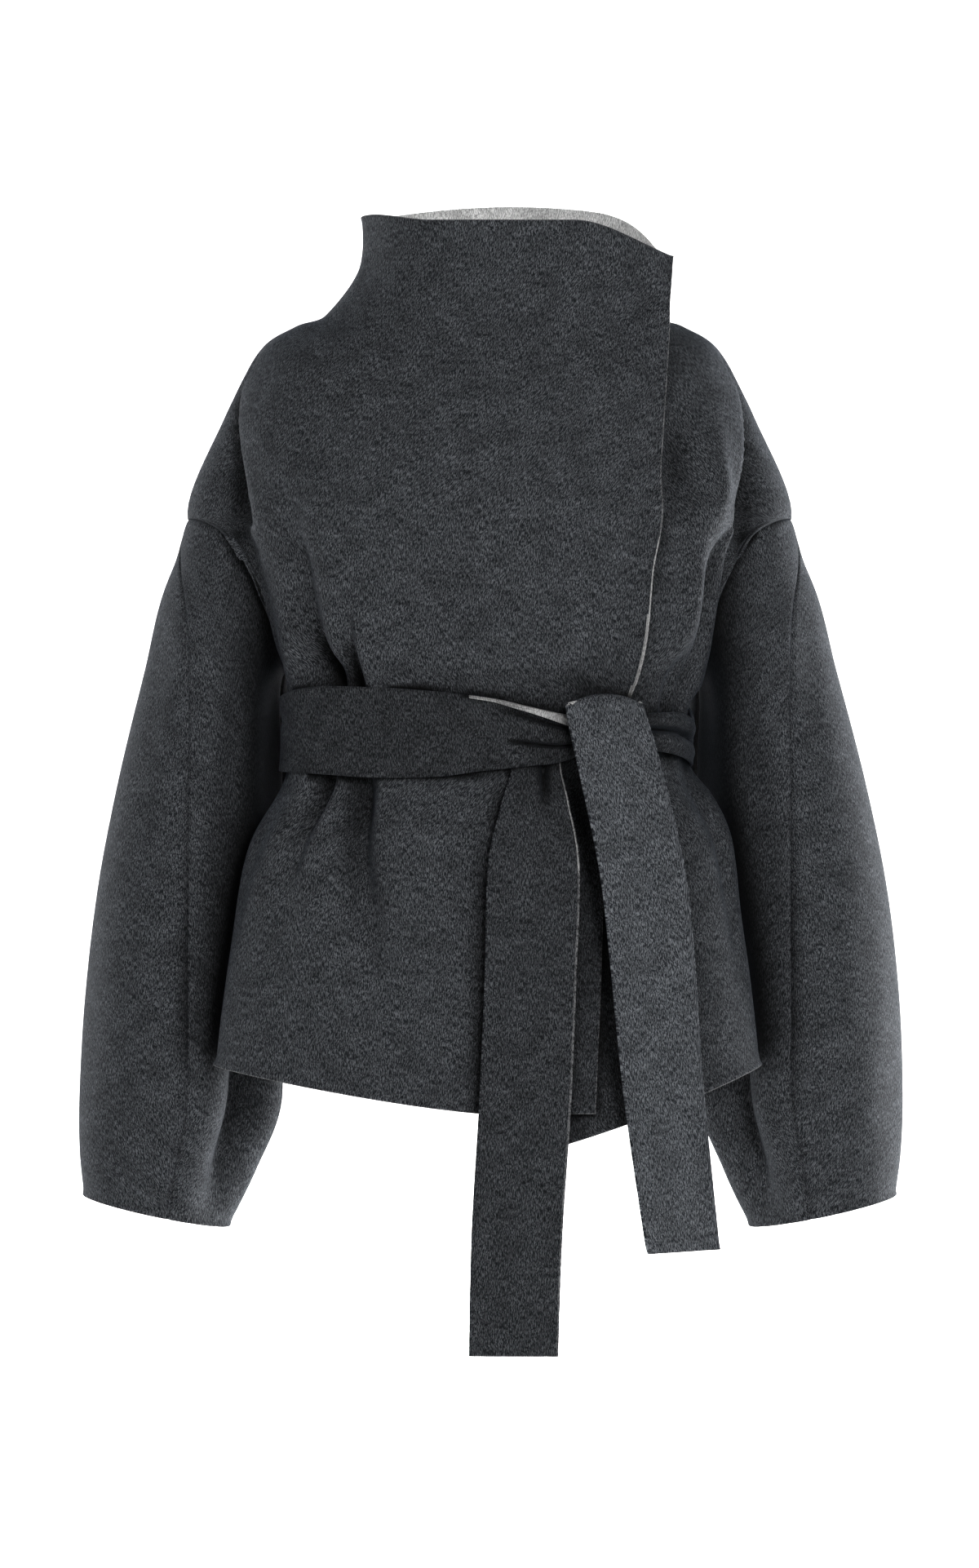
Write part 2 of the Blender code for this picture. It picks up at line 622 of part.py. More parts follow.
def main():
    for old in list(bpy.data.objects):
        bpy.data.objects.remove(old)
    wool = cloth_material("charcoal_wool", *CHARCOAL)
    left_front_half = sleeve_grid(True)
    left_back_half = sleeve_grid(False)
    sewn = {
        "front_right": outer_front_grid(),
        "front_left": under_front_grid(),
        "back": back_grid(),
        "sleeve_left_front": left_front_half,
        "sleeve_left_back": left_back_half,
        "sleeve_right_front": mirrored(left_front_half),
        "sleeve_right_back": mirrored(left_back_half),
    }
    own, common = shared_normals(sewn)
    for name, grid in sewn.items():
        wall(name, parted(grid, own[name], common[name]), common[name], wool)
    tied = {
        "sash_band": sash_grid(),
        "sash_long_end": strip_grid(LONG_END, 20),
        "sash_short_end": strip_grid(SHORT_END, 26),
    }
    for name, grid in tied.items():
        wall(name, grid, grid_normals(grid), wool)


main()
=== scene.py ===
import math
from collections import namedtuple
from functools import lru_cache

import bmesh
import bpy
import numpy as np
from mathutils.bvhtree import BVHTree
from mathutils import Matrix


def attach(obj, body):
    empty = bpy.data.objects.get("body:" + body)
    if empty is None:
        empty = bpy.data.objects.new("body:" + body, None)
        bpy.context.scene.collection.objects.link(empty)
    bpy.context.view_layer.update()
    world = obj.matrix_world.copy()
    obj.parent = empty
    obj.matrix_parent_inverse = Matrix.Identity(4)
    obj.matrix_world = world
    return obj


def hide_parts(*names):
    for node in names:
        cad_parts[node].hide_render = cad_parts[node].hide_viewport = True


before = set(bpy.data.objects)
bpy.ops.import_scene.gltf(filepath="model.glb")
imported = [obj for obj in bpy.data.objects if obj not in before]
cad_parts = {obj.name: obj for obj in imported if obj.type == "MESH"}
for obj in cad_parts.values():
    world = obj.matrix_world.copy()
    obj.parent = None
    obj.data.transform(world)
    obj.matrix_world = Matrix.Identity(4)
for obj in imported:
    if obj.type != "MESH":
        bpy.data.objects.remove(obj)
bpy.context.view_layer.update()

# Short wrap coat in double-faced wool. Every panel is laid out on the form of its solid, at a finer step,
# and carries the creases, seams, turned edges and nap that the solids leave out.
# Metres, +Z up, -Y towards the front, +X towards the wearer's left.

CLOTH = 0.0026
SEAM_GAP = 0.00012
WRAP_LIFT = 0.0054
SASH_LIFT = 0.0012
SEAM_DIP = 0.0008
SEAM_REACH = 0.0045
EDGE_ROUND = 0.0009
RIM_SHARES = (0.3, 0.7)

# Sections of the body, from the collar's top to the hem, as in the solids
RIDGE_C = 0.62
UNDER_EDGE = {"level": (0, 9, 11, 13), "c": (-0.20, -0.20, -0.06, 0.03)}
Ring = namedtuple(
    "Ring",
    "half ridge_y side_x side_y side_z front_y front_z back_y back_z "
    "square fall ridge_deg end_deg edge_deg",
)
BODY_RINGS = np.array([
    (0.1145, 0.0, 0.1145, 0.0, 0.082, -0.076, 0.077, 0.08, 0.0985, 2.0, 2.0, 55, 90, 76),
    (0.109, 0.0, 0.109, 0.0, 0.04, -0.08, 0.032, 0.078, 0.052, 2.0, 2.0, 55, 90, 72),
    (0.124, 0.004, 0.124, 0.004, 0.009, -0.09, -0.014, 0.086, 0.01, 2.0, 2.0, 54, 90, 67),
    (0.148, 0.008, 0.148, 0.008, 0.0, -0.106, -0.048, 0.1, -0.022, 2.0, 2.0, 53, 90, 58),
    (0.176, 0.012, 0.176, 0.012, -0.019, -0.118, -0.08, 0.11, -0.058, 2.1, 2.0, 53, 90, 46),
    (0.203, 0.018, 0.203, 0.018, -0.07, -0.126, -0.11, 0.117, -0.095, 2.2, 2.0, 53, 90, 36),
    (0.2305, 0.022, 0.2305, 0.022, -0.146, -0.131, -0.14, 0.121, -0.135, 2.3, 2.0, 53, 90, 29.5),
    (0.19, -0.018, 0.181, 0.022, -0.18, -0.132, -0.188, 0.121, -0.188, 2.4, 2.0, 70, 100, 34),
    (0.166, -0.038, 0.136, 0.022, -0.24, -0.128, -0.24, 0.117, -0.24, 2.4, 2.0, 86, 112, 38),
    (0.151, -0.034, 0.144, 0.012, -0.278, -0.117, -0.278, 0.107, -0.278, 2.3, 2.0, 90, 112, 39),
    (0.1505, -0.034, 0.143, 0.012, -0.34, -0.117, -0.34, 0.107, -0.34, 2.3, 2.0, 90, 112, 33),
    (0.178, -0.048, 0.146, 0.008, -0.395, -0.132, -0.395, 0.117, -0.395, 2.3, 1.6, 90, 112, 26),
    (0.192, -0.06, 0.147, 0.01, -0.47, -0.142, -0.475, 0.127, -0.47, 2.3, 1.4, 90, 112, 22),
    (0.202, -0.066, 0.148, 0.012, -0.557, -0.15, -0.589, 0.138, -0.566, 2.3, 1.3, 90, 112, 19),
])
NECK = 2
DROPPED = 6
UNDERARM = 8
SASH_TOP = 9
SASH_BOTTOM = 10
HEM = 13
UNDER_FRONT_HEM_Z = -0.624
COLLAR_SHIFT = 0.017
COLLAR_DROP = 0.028
COLLAR_DROP_X = (0.045, 0.085)
COLLAR_DIP = 0.0056
COLLAR_DIP_X = (-0.108, 0.05)
UNDER_COLLAR_DROP = 0.022
COLLAR_FALL = 0.026
COLLAR_FALL_FROM_X = 0.043
COLLAR_FALL_SPAN = 0.07

# The outer front's free edge above the chest, a row for each section
FLAP_EDGE = np.array([
    (0.1325, -0.048, 0.0465),
    (0.1315, -0.062, 0.016),
    (0.13, -0.073, -0.014),
    (0.127, -0.087, -0.048),
    (0.125, -0.098, -0.08),
    (0.1225, -0.106, -0.11),
])
ARMHOLE_X = 0.18325
ARMHOLE_HALF = 0.04725
ARMHOLE_Y = 0.022
ARMHOLE_DEPTH = 0.06
ARMHOLE_TOP_Z = -0.146
ARMHOLE_FALL = 0.094
ARMHOLE_BEND = 1.7
ARMHOLE_BACK_BEND = 1.25
# Where the wearer's right chest ends beside the arm, and how far it draws in there
ARM_LINE = {
    "level": (4.6, 5.0, 5.4, 5.8, 6.2, 6.6, 7.0, 7.8, 8.2, 8.6, 9.0, 9.3),
    "c": (-0.84, -0.8, -0.7, -0.63, -0.6, -0.6, -0.6, -0.6, -0.6, -0.6, -0.6, -0.6),
    "shift": (0.0, 0.0025, 0.008, 0.011, 0.015, 0.015, 0.0112, 0.0108, 0.0076, 0.0032, 0.001, 0.0),
}
ARM_LINE_BEFORE = 0.1
ARM_LINE_PAST = 0.25
ARM_FRONT_C = 0.7
ARM_TOP_C = 0.96
ARM_TOP_SPAN = 1.5
ARM_BACK_C = 0.62
# Start and span, in sections from the dropped shoulder and in the share of a row, where the arm's round
# takes hold and lets go
ARM_HOLD = (-2.2, 2)
ARM_LET_GO = (0.4, 0.9)
ARM_BEFORE = (-0.1, 0.14)
ARM_PAST = 1.2
BACK_PULL_C = 0.45
# Where the wrap lifts the outer front, and where the under front is covered and lowered: start and span
WRAP_C = (-0.78, 0.36)
FLAP_BEND = 1.5
COVERED_DEPTH = 0.006
COVERED_C = (0.35, -0.3)
COVERED_LEVELS = 3
UNDER_DROP_TO_C = 0.72

# Creases in the body cloth. c and level are the two ends of the crease's line, width is in c.
# A positive depth is a valley and a negative one a ridge; peak is where along the line it is strongest.
# flank under 1 makes the side towards the wearer's left that much steeper, and over 1 the other side.
MAIN_WAVER = 0.1
FINE_WAVER = 0.2
# A crease's line and width waver: how often along it, the step from crease to crease, the width's share
LINE_WAVER = (6, 2.3)
WIDTH_WAVER = (9, 1.7, 0.6)
SEAM_FADE_C = 0.06
# Sections and place beside the arm where the fronts lie smooth: start and span of each change
SMOOTH_FROM = (6.25, 0.35)
SMOOTH_TO = (7.5, 0.7)
SMOOTH_BESIDE_C = (0.6, 0.16)
# Low waves of the free cloth, and where the sash, the seams and the collar hold it
WAVES = 9
WAVE_HEIGHT = 0.0022
HELD_LEVEL = 9.5
HELD_SPAN = 0.55
CALM_SEAM_C = 0.25
CALM_COLLAR = 1.2
Fold = namedtuple("Fold", "c0 level0 c1 level1 depth width peak flank", defaults=(1.0,))
FRONT_FOLDS = [Fold(*row) for row in [
    (-0.98, 4.3, -0.6, 6.4, 0.013, 0.075, 0.7, 0.4),
    (0.98, 4.3, 0.6, 6.4, 0.013, 0.075, 0.7, 2.5),
    (-0.66, 5.7, -0.7, 8.4, 0.014, 0.065, 0.4, 0.6),
    (0.66, 5.7, 0.7, 8.4, 0.014, 0.065, 0.4, 1.6),
    (-0.8, 6.8, -0.9, 9.3, 0.024, 0.09, 0.5),
    (0.8, 6.8, 0.9, 9.3, 0.024, 0.09, 0.5),
    (-0.47, 4.6, -0.3, 9.6, 0.0225, 0.085, 0.8, 0.55),
    (-0.335, 7.2, -0.315, 9.9, 0.015, 0.026, 0.8, 0.4),
    (-0.25, 7.0, -0.242, 9.9, 0.018, 0.032, 0.8, 0.3),
    (-0.12, 6.2, 0.01, 8.8, 0.0135, 0.05, 0.6),
    (-0.335, 9.3, -0.35, 12.0, 0.015, 0.04, 0.3, 0.55),
    (-0.275, 9.3, -0.11, 13.0, 0.022, 0.048, 0.3, 0.45),
    (0.53, 4.3, 0.33, 6.7, 0.015, 0.055, 0.45),
    (0.58, 5.4, 0.5, 9.8, 0.01, 0.045, 0.8),
    (0.43, 7.4, 0.42, 9.9, 0.008, 0.03, 0.8),
    (0.56, 9.3, 0.5, 13.0, 0.009, 0.06, 0.45),
]]
FRONT_DETAIL = [Fold(*row) for row in [
    (0.05, 7.0, 0.21, 8.0, 0.004, 0.045, 0.5),
    (-0.02, 7.2, 0.11, 8.7, -0.0028, 0.045, 0.6),
    (-0.07, 8.0, -0.065, 8.98, -0.003, 0.024, 0.7),
    (0.077, 8.1, 0.08, 8.98, -0.003, 0.026, 0.7),
    (-0.2, 7.8, -0.2, 8.98, -0.003, 0.03, 0.75),
    (-0.15, 8.3, -0.14, 8.98, 0.0026, 0.02, 0.8),
    (0.0, 8.2, 0.005, 8.98, 0.0024, 0.022, 0.8),
    (0.7, 4.5, 0.43, 6.6, -0.0095, 0.06, 0.55),
    (0.46, 5.8, 0.4, 9.2, -0.009, 0.042, 0.5),
    (0.66, 5.0, 0.51, 8.6, 0.0085, 0.05, 0.5),
    (0.74, 0.4, 0.4, 2.6, 0.006, 0.11, 0.45),
    (-0.55, 0.8, -0.3, 2.6, 0.002, 0.12, 0.5),
    (0.13, 9.6, 0.172, 12.8, 0.018, 0.055, 0.35),
    (0.62, 7.6, 0.62, 9.3, -0.008, 0.1, 0.72),
    (0.66, 9.7, 0.6, 11.8, -0.01, 0.11, 0.32),
    (-0.05, 10.02, -0.01, 11.8, 0.0035, 0.04, 0.2),
    (-0.13, 10.02, -0.09, 11.4, -0.003, 0.035, 0.25),
    (0.28, 10.02, 0.3, 12.4, 0.005, 0.05, 0.25),
    (0.4, 10.02, 0.42, 11.8, -0.003, 0.045, 0.25),
    (-0.5, 10.02, -0.56, 12.8, 0.005, 0.06, 0.35),
    (-0.45, 5.0, -0.3, 7.4, -0.003, 0.06, 0.5),
    (-0.3, 3.2, -0.42, 5.4, 0.0025, 0.09, 0.5),
    (0.2, 3.0, 0.34, 5.2, 0.002, 0.08, 0.5),
]]
BACK_FOLDS = [Fold(*row) for row in [
    (-0.62, 4.4, -0.74, 8.8, 0.01, 0.085, 0.6),
    (0.62, 4.4, 0.74, 8.8, 0.01, 0.085, 0.6),
    (-0.55, 6.8, -0.5, 9.9, 0.012, 0.05, 0.8),
    (-0.2, 7.4, -0.18, 9.9, 0.01, 0.045, 0.8),
    (0.15, 7.2, 0.16, 9.9, 0.012, 0.05, 0.8),
    (0.5, 7.0, 0.47, 9.9, 0.011, 0.045, 0.8),
    (-0.5, 9.3, -0.46, 13.0, 0.016, 0.06, 0.35),
    (-0.12, 9.3, -0.1, 12.6, 0.012, 0.05, 0.35),
    (0.22, 9.3, 0.26, 13.0, 0.015, 0.06, 0.35),
    (0.6, 9.3, 0.62, 12.4, 0.01, 0.05, 0.35),
]]
BACK_DETAIL = [Fold(*row) for row in [
    (-0.38, 5.0, -0.28, 8.6, 0.004, 0.06, 0.6),
    (0.36, 5.2, 0.3, 8.7, 0.004, 0.06, 0.6),
    (-0.36, 8.1, -0.35, 8.98, -0.003, 0.03, 0.75),
    (-0.02, 8.0, -0.01, 8.98, -0.0032, 0.032, 0.75),
    (0.32, 8.1, 0.31, 8.98, -0.003, 0.03, 0.75),
    (-0.3, 10.02, -0.32, 12.2, -0.0035, 0.05, 0.25),
    (0.06, 10.02, 0.05, 12.0, -0.0035, 0.05, 0.25),
    (0.42, 10.02, 0.44, 12.4, -0.0035, 0.05, 0.25),
    (-0.3, 1.0, -0.1, 2.8, 0.002, 0.12, 0.5),
    (0.05, 3.0, 0.2, 5.0, 0.002, 0.12, 0.5),
]]

# Sections of a sleeve below the armhole, as in the solids
Cuff = namedtuple("Cuff", "out_x out_z in_x in_z front_y back_y seam_deg")
SLEEVE_RINGS = [Cuff(*row) for row in [
    (0.246, -0.192, 0.163, -0.27, -0.044, 0.1, 50),
    (0.264, -0.262, 0.167, -0.322, -0.047, 0.104, 77),
    (0.284, -0.345, 0.166, -0.375, -0.05, 0.107, 89),
    (0.3, -0.428, 0.166, -0.44, -0.051, 0.109, 96),
    (0.31, -0.51, 0.161, -0.518, -0.049, 0.108, 97),
    (0.314, -0.582, 0.157, -0.59, -0.045, 0.104, 96),
    (0.3135, -0.628, 0.178, -0.643, -0.04, 0.095, 98),
    (0.31, -0.661, 0.199, -0.685, -0.034, 0.086, 103),
]]
# Creases of a sleeve: angle and section at the two ends, depth, width in degrees, peak
SleeveFold = namedtuple("SleeveFold", "deg0 ring0 deg1 ring1 depth width peak")
SLEEVE_FOLDS = [SleeveFold(*row) for row in [
    (150, 3.4, 138, 8.4, 0.034, 21, 0.52),
    (228, 1.5, 236, 6.5, 0.01, 20, 0.5),
    (318, 2.0, 322, 7.0, 0.007, 18, 0.5),
    (198, 0.05, 198, 4.4, -0.0145, 20, 0.34),
]]
LEFT_SLEEVE_DETAIL = [SleeveFold(*row) for row in [
    (196, 1.0, 196, 4.6, -0.007, 24, 0.45),
    (0, 0.4, 0, 8.6, -0.0042, 60, 0.45),
    (360, 0.4, 360, 8.6, -0.0042, 60, 0.45),
    (40, 0.6, 70, 3.2, 0.003, 16, 0.4),
    (118, 1.0, 108, 4.6, 0.0035, 13, 0.45),
    (62, 3.4, 80, 6.8, -0.0025, 18, 0.5),
    (20, 4.2, 34, 7.6, 0.003, 16, 0.55),
    (285, 0.8, 262, 3.6, 0.004, 16, 0.4),
    (300, 4.0, 286, 7.4, -0.003, 18, 0.5),
    (205, 3.6, 196, 7.6, 0.004, 18, 0.55),
]]
RIGHT_SLEEVE_DETAIL = [SleeveFold(*row) for row in [
    (196, 1.0, 196, 4.6, -0.007, 24, 0.45),
    (34, 0.8, 58, 3.8, 0.0028, 17, 0.45),
    (122, 0.8, 112, 4.0, 0.004, 13, 0.4),
    (70, 4.0, 86, 7.2, -0.0028, 18, 0.5),
    (22, 3.6, 30, 7.0, 0.0026, 18, 0.5),
    (280, 1.0, 258, 4.0, 0.0036, 17, 0.45),
    (305, 3.6, 290, 7.0, -0.0028, 18, 0.5),
    (210, 3.2, 200, 7.2, 0.0044, 18, 0.5),
]]

# The sash, as in the solids
SASH_HEIGHTS = (0.278, 0.34)
Band = namedtuple("Band", "along top_z bottom_z lift")
SASH_BAND = np.array([
    (0.0, -0.301, -0.3235, 0.0066),
    (0.029, -0.2968, -0.3316, 0.0066),
    (0.051, -0.292, -0.334, 0.0062),
    (0.076, -0.2854, -0.337, 0.005),
    (0.108, -0.2806, -0.3418, 0.003),
    (0.163, -0.277, -0.3424, 0.0008),
    (0.233, -0.2764, -0.3394, 0.0),
    (0.338, -0.284, -0.3375, 0.0),
    (0.5, -0.28, -0.34, 0.0),
    (0.65, -0.2785, -0.339, 0.0),
    (0.8, -0.287, -0.3365, 0.0),
    (0.878, -0.2985, -0.3325, 0.001),
    (0.94, -0.295, -0.3265, 0.003),
    (1.0, -0.2955, -0.322, 0.0042),
])
SASH_LEFT_END_DEG = 26
SASH_RIGHT_END_DEG = 43
# Creases along the band: start and end along it, height there (0 top, 1 bottom), depth, width
Crease = namedtuple("Crease", "along0 t0 along1 t1 depth width")
SASH_CREASES = [Crease(*row) for row in [
    (-0.01, 0.74, 0.074, 0.57, 0.0052, 0.034),
    (-0.01, 0.38, 0.078, 0.05, 0.0046, 0.05),
    (-0.01, 0.58, 0.06, 0.36, -0.0016, 0.08),
    (-0.01, 0.9, 0.08, 0.8, -0.0016, 0.08),
    (0.07, 0.42, 0.2, 0.52, 0.0012, 0.09),
    (0.16, 0.86, 0.33, 0.88, 0.0011, 0.03),
    (0.28, 0.3, 0.48, 0.38, 0.0012, 0.09),
    (0.5, 0.62, 0.7, 0.55, 0.0012, 0.1),
    (0.85, 0.5, 1.01, 0.42, 0.006, 0.07),
    (0.85, 0.22, 1.01, 0.18, -0.0034, 0.16),
    (0.85, 0.78, 1.01, 0.72, -0.0034, 0.16),
]]
# The band's top edge is turned over just left of the knot and shows the inside
TURNED_FROM = 0.004
TURNED_TO = 0.089
TURNED_WIDTH = 0.0092
TURNED_LEAST = 0.0005
TURNED_TAPER = 1.9
TURNED_ROWS = 9
TURNED_OVER = 0.0012
TURNED_OUT = 0.0016
TURNED_ROLL = 0.001
TURNED_THICK = 0.0013
# The waist's outward way is taken over this many degrees, and the wrap lifts the sash between two places
WAIST_STEP_DEG = 4
WRAP_FROM_DEG = (-118, 40)
WRAP_TO_DEG = (75, -25)
SASH_FULL = 0.0014
SASH_RIPPLE = 0.0006

Hang = namedtuple("Hang", "x y z width turn")
LONG_END = np.array([
    (0.035, -0.1247, -0.318, 0.033, 8),
    (0.0345, -0.125, -0.338, 0.036, 8),
    (0.0335, -0.1375, -0.365, 0.05, 5),
    (0.0325, -0.15, -0.408, 0.066, 4),
    (0.03, -0.159, -0.49, 0.0655, 3),
    (0.026, -0.166, -0.58, 0.0655, 2),
    (0.02, -0.169, -0.676, 0.065, 0),
    (0.0175, -0.169, -0.764, 0.064, -2),
])
SHORT_END = np.array([
    (0.088, -0.1135, -0.296, 0.036, 28),
    (0.0875, -0.1138, -0.29, 0.04, 28),
    (0.0865, -0.1185, -0.2835, 0.054, 26),
    (0.0865, -0.1265, -0.2822, 0.061, 25),
    (0.087, -0.1318, -0.288, 0.062, 24),
    (0.089, -0.1345, -0.304, 0.063, 22),
    (0.098, -0.141, -0.345, 0.064, 20),
    (0.112, -0.149, -0.412, 0.065, 20),
    (0.1195, -0.154, -0.48, 0.065, 22),
    (0.1275, -0.156, -0.572, 0.065, 28),
    (0.142, -0.156, -0.689, 0.065, 36),
])
# Creases down a hanging end: place across it (0 left, 1 right) and row at both ends, depth, width
StripFold = namedtuple("StripFold", "s0 row0 s1 row1 depth width")
LONG_FOLDS = [StripFold(*row) for row in [
    (0.68, 0.02, 0.66, 0.34, 0.007, 0.085),
    (0.34, 0.02, 0.4, 0.34, -0.0022, 0.16),
    (0.3, 0.4, 0.45, 0.98, 0.0014, 0.22),
    (0.8, 0.45, 0.7, 1.02, -0.0012, 0.2),
]]
SHORT_FOLDS = [StripFold(*row) for row in [
    (0.86, 0.4, 0.8, 0.66, 0.0022, 0.09),
    (0.3, 0.36, 0.42, 0.7, -0.0016, 0.2),
    (0.55, 0.55, 0.4, 1.02, 0.0016, 0.22),
    (0.18, 0.6, 0.25, 1.02, -0.001, 0.16),
]]

# Mesh rows and columns
FRONT_ROWS = [(0, 2, 20), (2, 6, 40), (6, 8, 40), (8, 9, 16), (9, 10, 14), (10, 11, 15), (11, 13, 36)]
BACK_ROWS = [*FRONT_ROWS[:2], (6, 8, 64), *FRONT_ROWS[3:]]
OUTER_FRONT_COLUMNS = [(-0.62, 30), (-0.45, 16), (-0.19, 44), (0.08, 26), (None, 40)]
EDGE_BAND = 0.0145
EDGE_STEPS = np.array([0.0120, 0.0100, 0.0080, 0.0060, 0.0040, 0.0020, 0.0])
UNDER_FRONT_COLUMNS = [(0.36, 26), (0.64, 34), (1.0, 32)]
BACK_COLUMNS = 120
SLEEVE_ROWS = 104
SASH_COLUMNS = 300
SASH_ROWS = 48
LONG_ROWS = 150
SHORT_ROWS = 170
STRIP_COLUMNS = 24


def smooth(value, start=0.0, span=1.0):
    """0 before start, 1 past start + span, and an S between them; a negative span runs downwards."""
    t = np.clip((value - start) / span, 0.0, 1.0)
    return t * t * (3 - 2 * t)


def eased(value, start=0.0, span=1.0):
    """The same for one number."""
    t = min(max((value - start) / span, 0.0), 1.0)
    return t * t * (3 - 2 * t)


def unit(ways):
    return ways / np.linalg.norm(ways, axis=-1, keepdims=True)


def between(table, at):
    """The rows' values at a fractional row number, on a smooth curve through them."""
    table = np.asarray(table, float)
    at = min(max(float(at), 0.0), len(table) - 1.0)
    k = min(int(at), len(table) - 2)
    t = at - k
    before = table[max(k - 1, 0)]
    start = table[k]
    end = table[k + 1]
    after = table[min(k + 2, len(table) - 1)]
    return (
        (2 * t**3 - 3 * t**2 + 1) * start
        + (t**3 - 2 * t**2 + t) * 0.5 * (end - before)
        + (3 * t**2 - 2 * t**3) * end
        + (t**3 - t**2) * 0.5 * (after - start)
    )


@lru_cache(maxsize=None)
def ring_at(level):
    return Ring(*(float(v) for v in between(BODY_RINGS, level)))


def armhole(turn, front):
    """A point of the wearer's left armhole: turn is 0 at the outer point and pi at the underarm."""
    side = -1 if front else 1
    fall = (0.5 - 0.5 * math.cos(turn)) ** (ARMHOLE_BEND if front else ARMHOLE_BACK_BEND)
    return np.array([
        ARMHOLE_X + ARMHOLE_HALF * math.cos(turn),
        ARMHOLE_Y + side * ARMHOLE_DEPTH * math.sin(turn),
        ARMHOLE_TOP_Z - ARMHOLE_FALL * fall,
    ])


@lru_cache(maxsize=None)
def seam_point(level, front):
    """Where the front meets the back or the sleeve, on the wearer's left."""
    if DROPPED < level < UNDERARM:
        return armhole(math.pi * (level - DROPPED) / (UNDERARM - DROPPED), front)
    ring = ring_at(level)
    return np.array([ring.side_x, ring.side_y, ring.side_z])


def powered(value, square):
    return math.copysign(abs(value) ** (2 / square), value)


def lean(point, level, wraps):
    """The collar's shift and drop towards the wearer's left."""
    share = 1 - eased(level / NECK)
    if wraps:
        drop = COLLAR_DROP * eased(point[0], *COLLAR_DROP_X)
        drop += COLLAR_DIP * eased(point[0], *COLLAR_DIP_X)
    else:
        drop = COLLAR_FALL * max(0.0, (point[0] - COLLAR_FALL_FROM_X) / COLLAR_FALL_SPAN) ** 4
    return point + share * np.array([COLLAR_SHIFT, 0, -drop])


def round_the_arm(point, level, share, front):
    """Draws the part of a row that crosses the upper arm onto the arm's own round."""
    start = ARM_FRONT_C if front else ARM_BACK_C
    if front:
        start += (ARM_TOP_C - ARM_FRONT_C) * eased((DROPPED - level) / ARM_TOP_SPAN)
    hold = eased(level - DROPPED, *ARM_HOLD) * (1 - eased(level - DROPPED, *ARM_LET_GO))
    hold *= eased(share - start, *ARM_BEFORE)
    ring = ring_at(min(level, DROPPED))
    first = max(0.0, math.pi * (level - DROPPED) / (UNDERARM - DROPPED))
    turn = first + (math.pi / 2 - first) * min((1 - share) / (1 - start), ARM_PAST)
    x = ring.side_x - ARMHOLE_HALF * (1 - math.cos(turn))
    y = ring.side_y + (-1 if front else 1) * ARMHOLE_DEPTH * math.sin(turn)
    return point + hold * np.array([x - point[0], y - point[1], 0])


def front_point(level, c, hem_z, wraps=True):
    """The base surface of a front, on either side of the centre by the sign of c."""
    ring = ring_at(level)
    side = math.copysign(1, c)
    share = abs(c)
    if share < RIDGE_C:
        degrees = ring.ridge_deg * share / RIDGE_C
    else:
        degrees = ring.ridge_deg + (ring.end_deg - ring.ridge_deg) * (share - RIDGE_C) / (1 - RIDGE_C)
    front_z = ring.front_z + hem_z * eased(level - HEM + 2)

    def on_ring(angle):
        x = ring.half * powered(math.sin(angle), ring.square)
        reach = (ring.front_y if angle < math.pi / 2 else -ring.back_y) - ring.ridge_y
        y = ring.ridge_y + reach * powered(math.cos(angle), ring.square)
        fall = 1 - abs(x / ring.half) ** ring.fall if angle < math.pi / 2 else 0.0
        return np.array([x, y, ring.side_z + (front_z - ring.side_z) * fall])

    point = on_ring(math.radians(degrees))
    pull = eased((share - RIDGE_C) / (1 - RIDGE_C))
    if pull > 0:
        point = point + pull * (seam_point(level, True) - on_ring(math.radians(ring.end_deg)))
    point = round_the_arm(point, level, share, True)
    return lean(point * np.array([side, 1, 1]), level, wraps)


def back_point(level, c):
    """The base surface of the back: c is 0 at its centre and 1 at the wearer's left seam."""
    ring = ring_at(level)
    side = math.copysign(1, c)
    share = abs(c)
    half = ring.half if level <= DROPPED else ring.side_x
    if DROPPED < level < UNDERARM:
        ends = (ring_at(DROPPED).side_x, ring_at(UNDERARM).side_x)
        half = float(np.interp(level, (DROPPED, UNDERARM), ends))

    def on_ring(angle):
        x = half * powered(math.sin(angle), ring.square)
        y = ring.side_y + (ring.back_y - ring.side_y) * powered(math.cos(angle), ring.square)
        return np.array([x, y, ring.side_z + (ring.back_z - ring.side_z) * (1 - (x / half) ** 2)])

    point = on_ring(share * math.pi / 2)
    pull = eased((share - BACK_PULL_C) / (1 - BACK_PULL_C))
    if pull > 0:
        point = point + pull * (seam_point(level, False) - on_ring(math.pi / 2))
    point = round_the_arm(point, level, share, False)
    return lean(point * np.array([side, 1, 1]), level, False)


def fold_depth(folds, c, level, waver=0.0):
    """How far the creases press the cloth in, over arrays of c and level."""
    total = np.zeros(np.broadcast(c, level).shape)
    for k, fold in enumerate(folds):
        along = (level - fold.level0) / (fold.level1 - fold.level0)
        a = np.clip(along, 0, 1)
        sway = np.sin(LINE_WAVER[0] * a + LINE_WAVER[1] * k)
        line = fold.c0 + (fold.c1 - fold.c0) * a + waver * fold.width * sway
        rise = np.where(a < fold.peak, a / fold.peak, (1 - a) / (1 - fold.peak))
        often, step, share = WIDTH_WAVER
        width = fold.width * (1 + share * waver * np.sin(often * a + step * k))
        width = np.where(c > line, width * min(fold.flank, 1.0), width / max(fold.flank, 1.0))
        total = total + fold.depth * smooth(rise) * np.exp(-(((c - line) / width) ** 2))
    return total * smooth((1 - np.abs(c)) / SEAM_FADE_C)


